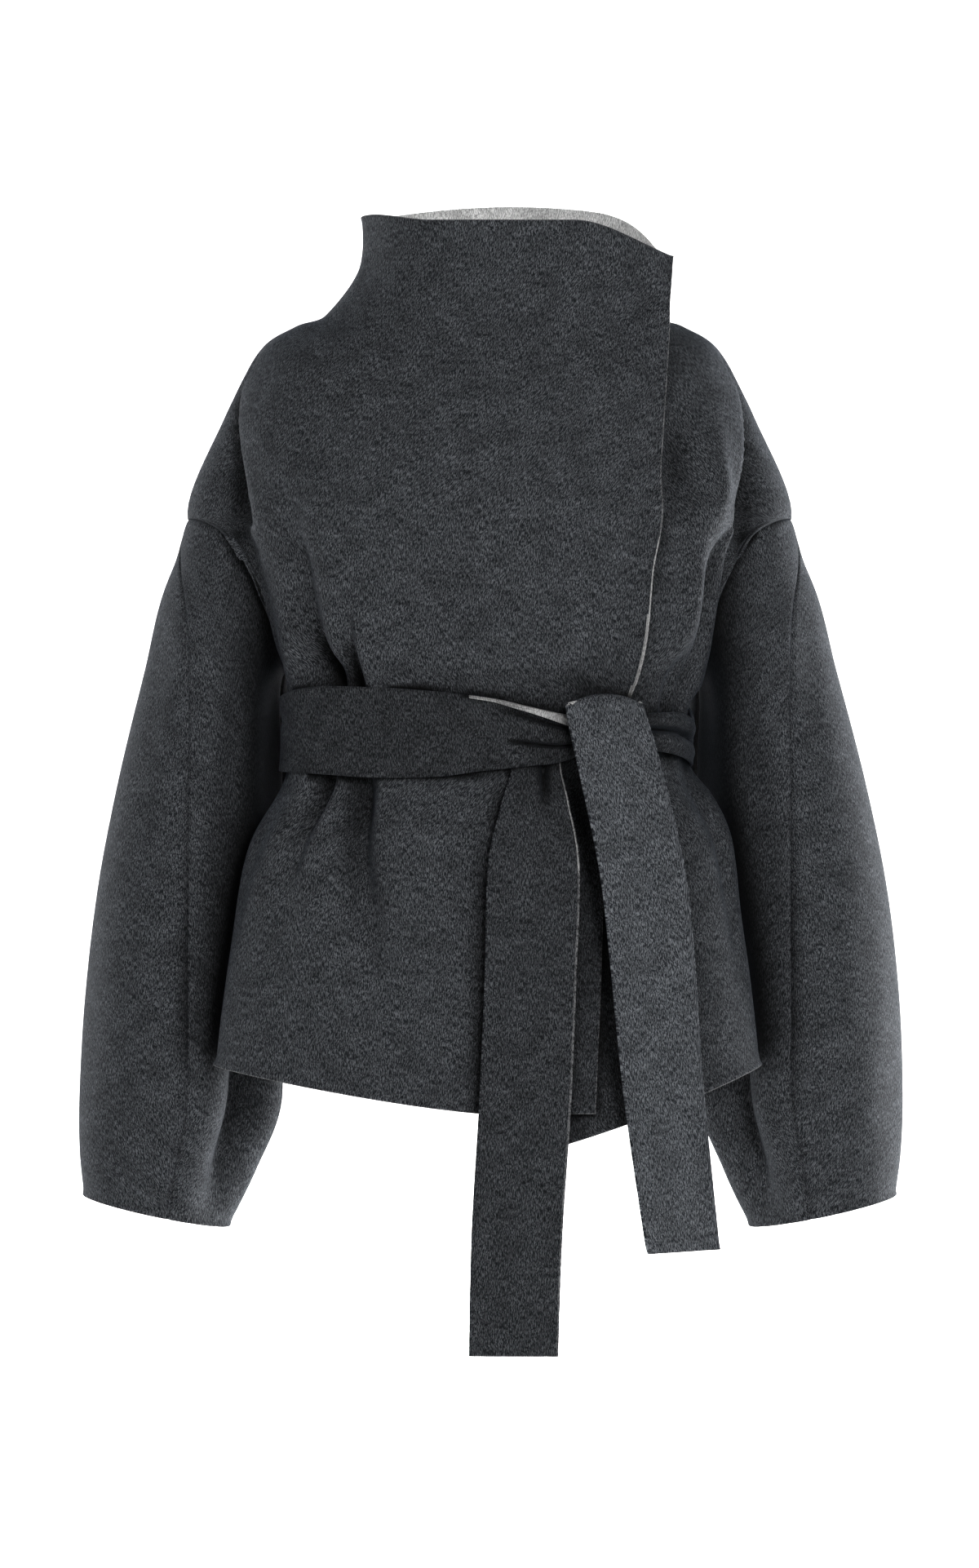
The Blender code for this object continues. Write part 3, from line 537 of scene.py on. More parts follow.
def undulation(c, level, seed):
    """Low unevenness of cloth that hangs free, and none where the sash or a seam holds it."""
    draw = np.random.RandomState(seed)
    total = np.zeros(np.broadcast(c, level).shape)
    for _ in range(WAVES):
        across = draw.uniform(4, 17)
        down = draw.uniform(-1.6, 1.6)
        phase = draw.uniform(0, 6.28)
        total = total + np.sin(across * c + down * level + phase) / WAVES
    held = np.exp(-(((level - HELD_LEVEL) / HELD_SPAN) ** 4))
    calm = smooth((1 - np.abs(c)) / CALM_SEAM_C)
    return WAVE_HEIGHT * total * (1 - held) * calm * smooth(level / CALM_COLLAR)


def grid_normals(grid):
    """Unit normals of a grid of points, each the mean of the faces round it weighted by their size."""
    face = np.cross(grid[1:, 1:] - grid[:-1, :-1], grid[:-1, 1:] - grid[1:, :-1])
    total = np.zeros(grid.shape)
    for rows in (np.s_[:-1], np.s_[1:]):
        for columns in (np.s_[:-1], np.s_[1:]):
            total[rows, columns] += face
    return unit(total)


def columns_of(first, spans, last):
    values = [first]
    for end, steps in spans:
        start = values[-1]
        end = last if end is None else end
        values += [start + (end - start) * k / steps for k in range(1, steps + 1)]
    return np.array(values)


def levels_of(spans):
    levels = [float(spans[0][0])]
    for start, end, steps in spans:
        levels += [start + (end - start) * k / steps for k in range(1, steps + 1)]
    return levels


def pressed(base, depth):
    return base - grid_normals(base) * depth[..., None]


def edge_c(level):
    ring = ring_at(level)
    return RIDGE_C * ring.edge_deg / ring.ridge_deg


def flap_standoff(level):
    """How far the outer front's free edge stands off the chest, fading out below the table's last row."""
    held = min(level, len(FLAP_EDGE) - 1.0)
    hold = 1 - eased((level - held) / 2)
    return hold * (between(FLAP_EDGE, held) - front_point(held, edge_c(held), 0.0))


def front_depth(c, level):
    """Creases common to both fronts, so that the under one keeps clear of the outer one."""
    main = fold_depth(FRONT_FOLDS, c, level, MAIN_WAVER)
    fine = fold_depth(FRONT_DETAIL, c, level, FINE_WAVER)
    beside = smooth(level, *SMOOTH_FROM) * (1 - smooth(level, *SMOOTH_TO))
    beside = beside * smooth(np.abs(c), *SMOOTH_BESIDE_C)
    return (main + fine) * (1 - beside) + undulation(c, level, 3)


def drawn_in(level, c):
    """How far the wearer's right chest draws in beside the arm."""
    edge = np.interp(level, ARM_LINE["level"], ARM_LINE["c"])
    near = eased((edge + ARM_LINE_PAST - c) / ARM_LINE_PAST)
    near *= eased((c - edge + ARM_LINE_BEFORE) / ARM_LINE_BEFORE)
    return near * np.interp(level, ARM_LINE["level"], ARM_LINE["shift"])


def outer_front_grid():
    """The wearer's right front, from its side seam past the centre to its free edge."""
    levels = levels_of(FRONT_ROWS)
    base, c_of = [], []
    for level in levels:
        last = edge_c(level)
        cs = np.append(columns_of(-1.0, OUTER_FRONT_COLUMNS, last - EDGE_BAND), last - EDGE_STEPS)
        loose = flap_standoff(level)
        centre_z = front_point(level, 0.0, 0.0)[2]
        level_share = eased(level - HEM + 1)
        row = []
        for c in cs:
            point = front_point(level, c, 0.0)
            point[0] += drawn_in(level, c)
            if c > 0:
                point = point + loose * (c / last) ** FLAP_BEND
                point[2] += (centre_z - point[2]) * level_share
            row.append(point)
        base.append(row)
        c_of.append(cs)
    c_of = np.array(c_of)
    depth = front_depth(c_of, np.array(levels)[:, None])
    lift = WRAP_LIFT * smooth(c_of, *WRAP_C)
    return pressed(np.array(base), depth - lift)


def under_front_grid():
    """The wearer's left front, from its hidden edge to its side seam."""
    levels = levels_of(FRONT_ROWS)
    drop = UNDER_FRONT_HEM_Z - BODY_RINGS[HEM][6]
    base, c_of = [], []
    for level in levels:
        first = float(np.interp(level, UNDER_EDGE["level"], UNDER_EDGE["c"]))
        cs = columns_of(first, UNDER_FRONT_COLUMNS, 1.0)
        low = UNDER_COLLAR_DROP * (1 - eased(level / NECK))
        row = []
        for c in cs:
            point = front_point(level, c, drop, False)
            point[2] -= low * (1 - eased((c - UNDER_DROP_TO_C) / (1 - UNDER_DROP_TO_C)))
            row.append(point)
        base.append(row)
        c_of.append(cs)
    c_of, at = np.array(c_of), np.array(levels)[:, None]
    covered = COVERED_DEPTH * smooth(c_of, *COVERED_C) * (1 - smooth(at / COVERED_LEVELS))
    return pressed(np.array(base), front_depth(c_of, at) + covered)


def back_grid():
    """The back, from the wearer's left seam to the right, so that its normals point out."""
    levels = levels_of(BACK_ROWS)
    cs = np.linspace(1, -1, BACK_COLUMNS + 1)
    base = np.array([[back_point(level, c) for c in cs] for level in levels])
    at = np.array(levels)[:, None]
    depth = fold_depth(BACK_FOLDS, cs, at, MAIN_WAVER) + fold_depth(BACK_DETAIL, cs, at, FINE_WAVER)
    return pressed(base, depth + undulation(cs, at, 11))


def sleeve_point(ring, turn):
    middle_x = 0.5 * (ring.out_x + ring.in_x)
    half_x = 0.5 * (ring.out_x - ring.in_x)
    middle_y = 0.5 * (ring.front_y + ring.back_y)
    half_y = 0.5 * (ring.back_y - ring.front_y)
    share = 0.5 - 0.5 * math.cos(turn)
    return (
        middle_x + half_x * math.cos(turn),
        middle_y - half_y * math.sin(turn),
        ring.out_z + (ring.in_z - ring.out_z) * share,
    )


def sleeve_press(folds, at, degrees):
    total = 0.0
    for fold in folds:
        along = (at - fold.ring0) / (fold.ring1 - fold.ring0)
        if not 0 < along < 1:
            continue
        line = fold.deg0 + (fold.deg1 - fold.deg0) * along
        rise = along / fold.peak if along < fold.peak else (1 - along) / (1 - fold.peak)
        total += fold.depth * eased(rise) * math.exp(-(((degrees - line) / fold.width) ** 2))
    return total


def sleeve_grid(front, detail):
    """Half of the wearer's left sleeve, from the overarm seam to the underarm seam."""
    spans = FRONT_ROWS if front else BACK_ROWS
    columns = next(steps for start, _, steps in spans if start == DROPPED)
    seams = [[0.0]] + [[ring.seam_deg] for ring in SLEEVE_RINGS]
    end = math.pi if front else -math.pi
    grid = []
    for k in range(SLEEVE_ROWS + 1):
        at = len(SLEEVE_RINGS) * k / SLEEVE_ROWS
        seam = math.radians(between(seams, at)[0])
        row = []
        for j in range(columns + 1):
            turn = seam + (end - seam) * j / columns
            stations = [armhole(math.pi * j / columns, front)]
            stations += [sleeve_point(ring, turn) for ring in SLEEVE_RINGS]
            inward = np.array([-math.cos(turn), math.sin(turn), 0])
            press = sleeve_press(SLEEVE_FOLDS + detail, at, math.degrees(turn) % 360)
            row.append(between(stations, at) + inward * press)
        grid.append(row[::-1] if front else row)
    return np.array(grid)


def mirrored(grid):
    """The same panel on the wearer's other side, its columns turned round so that it still faces out."""
    return (grid * np.array([-1, 1, 1]))[:, ::-1]


def waist_point(degrees, level):
    """A point, its outward direction and the wrap's lift on the waist: 0 is the centre front."""

    def on_waist(d):
        turned = (d + 180) % 360 - 180
        share = abs(turned)
        ring = ring_at(level)
        side = math.copysign(1, turned)
        if share <= ring.end_deg:
            c = RIDGE_C * share / ring.ridge_deg
            if share > ring.ridge_deg:
                c = RIDGE_C + (1 - RIDGE_C) * (share - ring.ridge_deg) / (ring.end_deg - ring.ridge_deg)
            return front_point(level, side * c, 0.0)
        return back_point(level, side * (180 - share) / (180 - ring.end_deg))

    along = on_waist(degrees + WAIST_STEP_DEG) - on_waist(degrees - WAIST_STEP_DEG)
    outward = np.array([along[1], -along[0], 0])
    turned = (degrees + 180) % 360 - 180
    wrapped = WRAP_LIFT * eased(turned, *WRAP_FROM_DEG) * eased(turned, *WRAP_TO_DEG)
    return on_waist(degrees), unit(outward), wrapped


def sash_grid():
    """The band, from the knot's left end over the wearer's right side and the back to its right end."""
    grid = np.zeros((SASH_ROWS + 1, SASH_COLUMNS + 1, 3))
    for j in range(SASH_COLUMNS + 1):
        along = j / SASH_COLUMNS
        at = float(np.interp(along, SASH_BAND[:, 0], np.arange(len(SASH_BAND))))
        station = Band(*between(SASH_BAND, at))
        degrees = SASH_LEFT_END_DEG - along * (360 - SASH_RIGHT_END_DEG + SASH_LEFT_END_DEG)
        for i in range(SASH_ROWS + 1):
            t = i / SASH_ROWS
            z = station.top_z + (station.bottom_z - station.top_z) * t
            level = float(np.interp(-z, SASH_HEIGHTS, (SASH_TOP, SASH_BOTTOM)))
            point, outward, wrapped = waist_point(degrees, round(level, 3))
            full = SASH_FULL * math.sin(math.pi * t) + SASH_RIPPLE * math.sin(31 * along + 3 * t)
            for crease in SASH_CREASES:
                share = (along - crease.along0) / (crease.along1 - crease.along0)
                if not 0 < share < 1:
                    continue
                line = crease.t0 + (crease.t1 - crease.t0) * share
                ends = eased(4 * (crease.along1 - along) / (crease.along1 - crease.along0))
                if crease.along0 > 0:
                    ends *= eased(4 * share)
                if crease.along1 > 1:
                    ends = eased(2.5 * share)
                full -= crease.depth * ends * math.exp(-(((t - line) / crease.width) ** 2))
            point = point + outward * (CLOTH + SASH_LIFT + wrapped + station.lift + full)
            grid[i, j] = (point[0], point[1], z)
    return grid[:, ::-1]


def turned_edge_grid(band):
    """The strip of the band's top that is turned over outwards beside the knot."""
    count = band.shape[1] - 1
    columns = [j for j in range(count + 1) if TURNED_FROM <= 1 - j / count <= TURNED_TO]
    normals = grid_normals(band)
    rows = []
    for t in np.linspace(0, 1, TURNED_ROWS):
        row = []
        for j in columns:
            along = 1 - j / count
            taper = ((TURNED_TO - along) / (TURNED_TO - TURNED_FROM)) ** TURNED_TAPER
            width = TURNED_LEAST + TURNED_WIDTH * taper
            top = band[0, j]
            down = unit(band[3, j] - band[0, j])
            out = TURNED_OUT + TURNED_ROLL * math.sin(math.pi * min(t * 1.5, 1.0))
            off = normals[2, j] * out * min(t * 6 + 0.2, 1)
            row.append(top + down * (width * t - TURNED_OVER * (1 - t)) + off)
        rows.append(row)
    return np.array(rows)


def strip_grid(stations, steps, folds, cup=0.0):
    """A hanging end: rows down its length, columns from its left edge to its right."""
    across_at = np.sort(np.append(np.linspace(0, 1, STRIP_COLUMNS + 1), (0.012, 0.985)))
    base = []
    for k in range(steps + 1):
        hang = Hang(*between(stations, (len(stations) - 1) * k / steps))
        turn = math.radians(hang.turn)
        across = np.array([math.cos(turn), math.sin(turn), 0]) * hang.width
        middle = np.array([hang.x, hang.y, hang.z])
        base.append([middle + across * (s - 0.5) for s in across_at])
    base = np.array(base)
    down = np.linspace(0, 1, steps + 1)[:, None]
    depth = 0.0005 * np.sin(9 * down + 5 * across_at) * smooth(down / 0.3)
    depth = depth + cup * np.abs(2 * across_at - 1) ** 2.5 * (1 - smooth((down - 0.34) / 0.3))
    for fold in folds:
        share = (down - fold.row0) / (fold.row1 - fold.row0)
        a = np.clip(share, 0, 1)
        line = fold.s0 + (fold.s1 - fold.s0) * a
        rise = smooth(3.2 * a) * smooth(2.2 * (1 - a))
        depth = depth + fold.depth * rise * np.exp(-(((across_at - line) / fold.width) ** 2))
    return pressed(base, depth)


def shared_normals(grids):
    """Each grid's normals, and the same made common where grids meet along a seam."""
    own = {name: grid_normals(grid) for name, grid in grids.items()}
    sums = {}
    for name, grid in grids.items():
        for point, normal in zip(np.round(grid.reshape(-1, 3), 6), own[name].reshape(-1, 3)):
            key = tuple(point)
            sums[key] = sums.get(key, 0) + normal
    common = {}
    for name, grid in grids.items():
        rows = np.array([sums[tuple(point)] for point in np.round(grid.reshape(-1, 3), 6)])
        common[name] = unit(rows.reshape(grid.shape))
    return own, common


def border_lift(grid, side, reach, lift):
    """A lift that is full at one border and gone at reach from it, measured on the cloth."""
    turned = side in ("first", "last")
    flipped = side in ("bottom", "last")
    g = grid.transpose(1, 0, 2) if turned else grid
    g = g[::-1] if flipped else g
    steps = np.linalg.norm(np.diff(g, axis=0), axis=2)
    away = np.vstack([np.zeros(g.shape[1]), np.cumsum(steps, axis=0)])
    out = lift * np.clip(1 - away / reach, 0, 1) ** 2
    out = out[::-1] if flipped else out
    return out.T if turned else out


def parted(grid, own, common):
    """The grid with its border drawn in by half a seam gap."""
    moved = grid.copy()
    rim = np.zeros(grid.shape[:2], bool)
    whole = slice(None)
    lines = [((0, whole), (1, whole)), ((-1, whole), (-2, whole))]
    lines += [((whole, 0), (whole, 1)), ((whole, -1), (whole, -2))]
    for line, next_line in lines:
        moved[line] += unit(grid[next_line] - grid[line]) * SEAM_GAP / 2
        rim[line] = True
    turn = 1 - (own * common).sum(axis=2)
    moved[rim] -= (own * turn[..., None])[rim] * SEAM_GAP
    return moved


def cloth_uv(grid):
    """Lengths across and down the cloth in metres, for the nap."""
    across = np.linalg.norm(np.diff(grid, axis=1), axis=2)
    down = np.linalg.norm(np.diff(grid, axis=0), axis=2)
    u = np.hstack([np.zeros((len(grid), 1)), np.cumsum(across, axis=1)])
    u = u - u[:, u.shape[1] // 2][:, None]
    v = np.vstack([np.zeros((1, grid.shape[1])), np.cumsum(down, axis=0)])
    return np.dstack([u, -v])


# Rows, columns and border of each piece's outer face
cloth_shapes = {}
# Short rays that find how deep a place lies, for the shade painted into the wool's colour in folds and
# gaps: how many, how far, rows between places, start off the cloth
OPEN_RAYS = 28
OPEN_REACH = 0.08
OPEN_STEP = 2
OPEN_CLEAR = 0.0045
OPEN_CLEAR_SASH = 0.0012
OPEN_ASIDE = (0.31, 0.87, 0.38)


def paint_hollow_shade(pieces):
    """Keeps on each piece how open its outer face lies, from which the wool paints shade into its colour
    deep in folds and gaps.
    """
    points, faces = [], []
    for piece in pieces:
        start = len(points)
        points += [tuple(vertex.co) for vertex in piece.data.vertices]
        faces += [[start + v for v in polygon.vertices] for polygon in piece.data.polygons]
    tree = BVHTree.FromPolygons(points, faces)
    out = np.sqrt((np.arange(OPEN_RAYS) + 0.5) / OPEN_RAYS)
    turns = np.arange(OPEN_RAYS) * math.pi * (3 - math.sqrt(5))
    local = np.stack([out * np.cos(turns), out * np.sin(turns), np.sqrt(1 - out**2)], -1)
    for piece in pieces:
        rows, columns, border = cloth_shapes[piece.name]
        outer = piece.data.vertices[: rows * columns]
        shape = (rows, columns, 3)
        at = np.array([vertex.co for vertex in outer]).reshape(shape)
        up = np.array([vertex.normal for vertex in outer]).reshape(shape)
        some_rows = np.unique(np.append(np.arange(0, rows, OPEN_STEP), rows - 1))
        some_columns = np.unique(np.append(np.arange(0, columns, OPEN_STEP), columns - 1))
        picked = np.ix_(some_rows, some_columns)
        at, up = at[picked].reshape(-1, 3), up[picked].reshape(-1, 3)
        aside = unit(np.cross(up, OPEN_ASIDE))
        frames = np.stack([aside, np.cross(up, aside), up], 1)
        ways = np.einsum("rk,pkx->prx", local, frames)
        clear = OPEN_CLEAR_SASH if piece.name.startswith("sash") else OPEN_CLEAR
        shares = []
        for origin, fan in zip((at + up * clear).tolist(), ways.tolist()):
            blocked = 0.0
            for way in fan:
                away = tree.ray_cast(origin, way, OPEN_REACH)[3]
                if away is not None:
                    blocked += 1 - away / OPEN_REACH
            shares.append(1 - blocked / OPEN_RAYS)
        field = np.array(shares).reshape(len(some_rows), len(some_columns))
        field = np.array([np.interp(np.arange(columns), some_columns, line) for line in field])
        field = np.array([np.interp(np.arange(rows), some_rows, line) for line in field.T]).T.ravel()
        whole = np.concatenate([field, np.ones(rows * columns), field[border], field[border]])
        kept = piece.data.attributes.new("open", "FLOAT", "POINT")
        kept.data.foreach_set("value", whole.astype(np.float32))


def shell(
    name, grid, normals, free, materials,
    thick=CLOTH, pale=None, strip=None, faint=None, turned_in=None,
):
    """A closed wall of cloth with the grid as its outer face, and rounded rims where it isn't sewn.

    The materials are the outer, the inner and the edge's. The rims of the pale sides show the inner one,
    with the edge's next to the outer face. strip is how many columns at the last side show the inner one
    on the outer face, a number for each row, and faint marks the rows where they show the edge's instead.
    turned_in marks the faces whose inside shows the outer one.
    """
    pale = free if pale is None else pale
    rows, columns = grid.shape[:2]
    count = rows * columns
    index = np.arange(count).reshape(rows, columns)
    outer = grid.reshape(-1, 3)
    inner = (grid - normals * thick).reshape(-1, 3)
    quads = np.stack([index[:-1, :-1], index[1:, :-1], index[1:, 1:], index[:-1, 1:]], -1).reshape(-1, 4)
    pull = np.zeros(grid.shape)
    loose = np.zeros((rows, columns))
    bright = np.zeros((rows, columns))
    whole = slice(None)
    sides = {
        "first": ((whole, 0), (whole, 1)),
        "last": ((whole, -1), (whole, -2)),
        "top": ((0, whole), (1, whole)),
        "bottom": ((-1, whole), (-2, whole)),
    }
    for side, (line, next_line) in sides.items():
        pull[line] += unit(grid[line] - grid[next_line])
        if side in free:
            loose[line] = 1.0
        if side in pale:
            bright[line] = 1.0
    border = np.concatenate([index[:, 0], index[-1, 1:], index[-2::-1, -1], index[0, -2:0:-1]])
    away = unit(pull.reshape(-1, 3)[border])
    slack = loose.reshape(-1)[border]
    shown = bright.reshape(-1)[border]
    rings = [border]
    points = [outer, inner]
    for k, share in enumerate(RIM_SHARES):
        middle = outer[border] * (1 - share) + inner[border] * share
        points.append(middle + away * (EDGE_ROUND * math.sin(math.pi * share) * slack)[:, None])
        rings.append(2 * count + k * len(border) + np.arange(len(border)))
    rings.append(border + count)
    faces = [quads, quads[:, ::-1] + count]
    kinds = [np.zeros(len(quads), int), np.ones(len(quads), int)]
    if turned_in is not None:
        kinds[1] = 1 - turned_in.astype(int).ravel()
    if strip is not None:
        from_edge = columns - 2 - np.arange(columns - 1)
        tone = np.where(faint[:-1, None], 2, 1)
        kinds[0] = ((from_edge < strip[:-1, None]) * tone).ravel()
    for k, (near, far) in enumerate(zip(rings, rings[1:])):
        ahead, beyond = np.roll(near, -1), np.roll(far, -1)
        faces.append(np.stack([ahead, near, far, beyond], -1))
        both = shown * np.roll(shown, -1)
        kinds.append((both > 0).astype(int) * (1 if k > 0 else 2 * (len(materials) > 2)))
    data = bpy.data.meshes.new(name)
    data.from_pydata(np.vstack(points).tolist(), [], np.vstack(faces).tolist())
    for material in materials:
        data.materials.append(material)
    data.polygons.foreach_set("material_index", np.concatenate(kinds).astype(np.int32))
    flat = cloth_uv(grid).reshape(-1, 2)
    at_vertex = np.vstack([flat, flat, flat[border], flat[border]])
    corners = np.empty(len(data.loops), np.int32)
    data.loops.foreach_get("vertex_index", corners)
    data.uv_layers.new(name="cloth").data.foreach_set("uv", at_vertex[corners].astype(np.float32).ravel())
    data.shade_smooth()
    made = linked(name, data)
    cloth_shapes[made.name] = (rows, columns, border)
    return made


def linked(name, data):
    """A new object in the scene with this data."""
    made = bpy.data.objects.new(name, data)
    bpy.context.scene.collection.objects.link(made)
    return made


def add(tree, kind, links=None, **values):
    """A shader node with its properties, input values and incoming links."""
    made = tree.nodes.new("ShaderNode" + kind)
    for key, value in values.items():
        if hasattr(made, key):
            setattr(made, key, value)
        else:
            made.inputs[key.replace("_", " ")].default_value = value
    for key, socket in (links or {}).items():
        tree.links.new(socket, made.inputs[key])
    return made


# The two faces of the cloth: darkest, middle and lightest fibres, sheen and its tint, relief
Face = namedtuple("Face", "dark middle light sheen tint bump")
CHARCOAL = Face(
    (0.0062, 0.0070, 0.0088), (0.0215, 0.0236, 0.0272), (0.1230, 0.1305, 0.1410),
    0.05, (0.60, 0.75, 1.0), 0.45)
EDGE = Face(
    (0.0300, 0.0310, 0.0330), (0.0900, 0.0920, 0.0950), (0.2100, 0.2140, 0.2200),
    0.05, (1.0, 1.0, 1.0), 0.40)
GREY = Face(
    (0.1900, 0.1900, 0.1900), (0.3600, 0.3600, 0.3580), (0.5600, 0.5600, 0.5550),
    0.10, (1.0, 1.0, 1.0), 0.30)
# Scales of the two layers of fibres across and along them, and where the shades lie on their mixed value
FIBRES = ((1450, 250, 1), (2300, 560, 1))
FIBRE_DETAIL = 2.0
SHADE_PLACES = (0.42, 0.49, 0.585)
WANDER = 0.0055
WANDER_SCALE = 60.0
PATCH_SCALE = 55.0
# How strongly the painted shade in folds and gaps darkens the wool's colour
PAINTED_SHADE_POWER = 2.6
RELIEF = 0.0006


def wool(name, face):
    """Napped wool: fibres of mixed shades lie along the cloth and wander a little, and the colour is
    darkened with painted shade where the cloth lies deep in folds and gaps.
    """
    material = bpy.data.materials.new(name)
    material.use_nodes = True
    tree = material.node_tree
    shader = tree.nodes["Principled BSDF"]
    finish = {"Roughness": 0.93, "Specular IOR Level": 0.18, "Sheen Roughness": 0.42}
    finish.update({"Sheen Weight": face.sheen, "Sheen Tint": (*face.tint, 1)})
    for key, value in finish.items():
        shader.inputs[key].default_value = value
    cloth = add(tree, "UVMap", uv_map="cloth").outputs["UV"]
    drift = add(tree, "TexNoise", {"Vector": cloth}, Scale=WANDER_SCALE, Detail=1.0)
    centred = add(tree, "VectorMath", {0: drift.outputs["Color"]}, operation="SUBTRACT")
    centred.inputs[1].default_value = (0.5, 0.5, 0.5)
    small = add(tree, "VectorMath", {0: centred.outputs[0]}, operation="SCALE", Scale=WANDER)
    warped = add(tree, "VectorMath", {0: cloth, 1: small.outputs[0]}, operation="ADD").outputs[0]
    layers = {}
    for k, scale in enumerate(FIBRES):
        lay = add(tree, "Mapping", {"Vector": warped}, Scale=scale).outputs[0]
        noise = add(tree, "TexNoise", {"Vector": lay}, Scale=1.0, Detail=FIBRE_DETAIL)
        layers[k] = noise.outputs["Fac"]
    fibres = add(tree, "Math", layers, operation="ADD")
    half = add(tree, "Math", {0: fibres.outputs[0]}, operation="MULTIPLY")
    half.inputs[1].default_value = 0.5
    ramp = add(tree, "ValToRGB", {"Fac": half.outputs[0]})
    for k, (place, colour) in enumerate(zip(SHADE_PLACES, (face.dark, face.middle, face.light))):
        stop = ramp.color_ramp.elements[k] if k < 2 else ramp.color_ramp.elements.new(place)
        stop.position = place
        stop.color = (*colour, 1)
    patches = add(tree, "TexNoise", {"Vector": cloth}, Scale=PATCH_SCALE, Detail=4.0)
    level = add(tree, "MapRange", {"Value": patches.outputs["Fac"]})
    for key, value in (("From Min", 0.3), ("From Max", 0.7), ("To Min", 0.74), ("To Max", 1.28)):
        level.inputs[key].default_value = value
    # Painted shade: the colour is darkened by how open the cloth lies, deep in folds, in gaps and between
    # parts
    lies_open = add(tree, "Attribute", attribute_name="open")
    painted_shade = add(tree, "Math", {0: lies_open.outputs["Fac"]}, operation="POWER")
    painted_shade.inputs[1].default_value = PAINTED_SHADE_POWER
    both = add(tree, "Math", {0: level.outputs[0], 1: painted_shade.outputs[0]}, operation="MULTIPLY")
    shaded = {0: ramp.outputs["Color"], "Scale": both.outputs[0]}
    shade = add(tree, "VectorMath", shaded, operation="SCALE")
    tree.links.new(shade.outputs[0], shader.inputs["Base Color"])
    relief = add(tree, "Bump", {"Height": half.outputs[0]}, Strength=face.bump, Distance=RELIEF)
    tree.links.new(relief.outputs[0], shader.inputs["Normal"])
    return material


charcoal = wool("charcoal_wool_face", CHARCOAL)
edge_wool = wool("charcoal_wool_edge", EDGE)


def painted_light_copy(face, tone):
    """The same face with its colours scaled by a factor, for painted light and shade."""
    shades = (tuple(tone * value for value in colour) for colour in face[:3])
    return Face(*shades, *face[3:])


# Painted light and shade: the sash band is darkened as if in shade, the long end a little less so, the
# short end lightened as if lit, and the back's inside lightened as if lit where it shows at the collar,
# each as a scaled copy of its wool
COLLAR_PAINTED_LIGHT = 1.75
SASH_PAINTED_LIGHT = {"sash_band": 0.58, "sash_long_end": 0.74, "sash_short_end": 1.55}
# Lit and shaded copies of the charcoal wool for the sash pieces, as painted light and shade
sash_painted_light_wool = {name: wool(name + "_wool", painted_light_copy(CHARCOAL, tone)) for name, tone in SASH_PAINTED_LIGHT.items()}
grey = wool("grey_wool_inside", GREY)
# A lighter copy of the grey inside, as painted light on the back's inside at the collar
collar_painted_light_grey = wool("grey_wool_collar", painted_light_copy(GREY, COLLAR_PAINTED_LIGHT))

sewn = {
    "front_right": outer_front_grid(),
    "front_left": under_front_grid(),
    "back": back_grid(),
    "sleeve_left_front": sleeve_grid(True, LEFT_SLEEVE_DETAIL),
    "sleeve_left_back": sleeve_grid(False, LEFT_SLEEVE_DETAIL),
    "sleeve_right_front": mirrored(sleeve_grid(True, RIGHT_SLEEVE_DETAIL)),
    "sleeve_right_back": mirrored(sleeve_grid(False, RIGHT_SLEEVE_DETAIL)),
}
# Borders that aren't sewn
ALL_SIDES = ("first", "last", "top", "bottom")
FREE = {
    "front_right": ("top", "bottom", "last"),
    "front_left": ("top", "bottom", "first"),
    "back": ("top", "bottom"),
}
# From how far in a free edge curls out, and by how much
CUFF_CURL = (("bottom", 0.007, 0.0012),)
CURLS = {
    "front_right": (("bottom", 0.008, 0.0022), ("top", 0.006, 0.0006)),
    "front_left": (("bottom", 0.008, 0.0020),),
    "back": (("bottom", 0.008, 0.0020),),
}
# The front edge's short and wide curl: from how far in, and by how much at these sections
EDGE_LEVELS = (0, 3, 5, 7, 8.8, 9.2, 10, 13)
EDGE_CURLS = {
    0.0045: (0.0012, 0.0014, 0.0020, 0.0030, 0.0034, 0.002, 0.0, 0.0016),
    0.016: (0.0, 0.0010, 0.0030, 0.0050, 0.0062, 0.003, 0.0, 0.0),
}
# Columns of the front edge that show the turned pale face, by section
EDGE_STRIP = ((0, 0.3, 0.4, 6.4, 7.6, 9.3, 9.5, 13), (0, 0, 1, 1, 1, 2.4, 0, 0))
# Section down to which that edge only just shows
FAINT_TO = 6.5
# Sections and columns beside the armhole whose seam allowance shows the dark face on the inside
SEAM_LEVELS = (3.6, 8.6)
SEAM_SIDE = {"front_right": (0, 34), "front_left": (58, 92)}


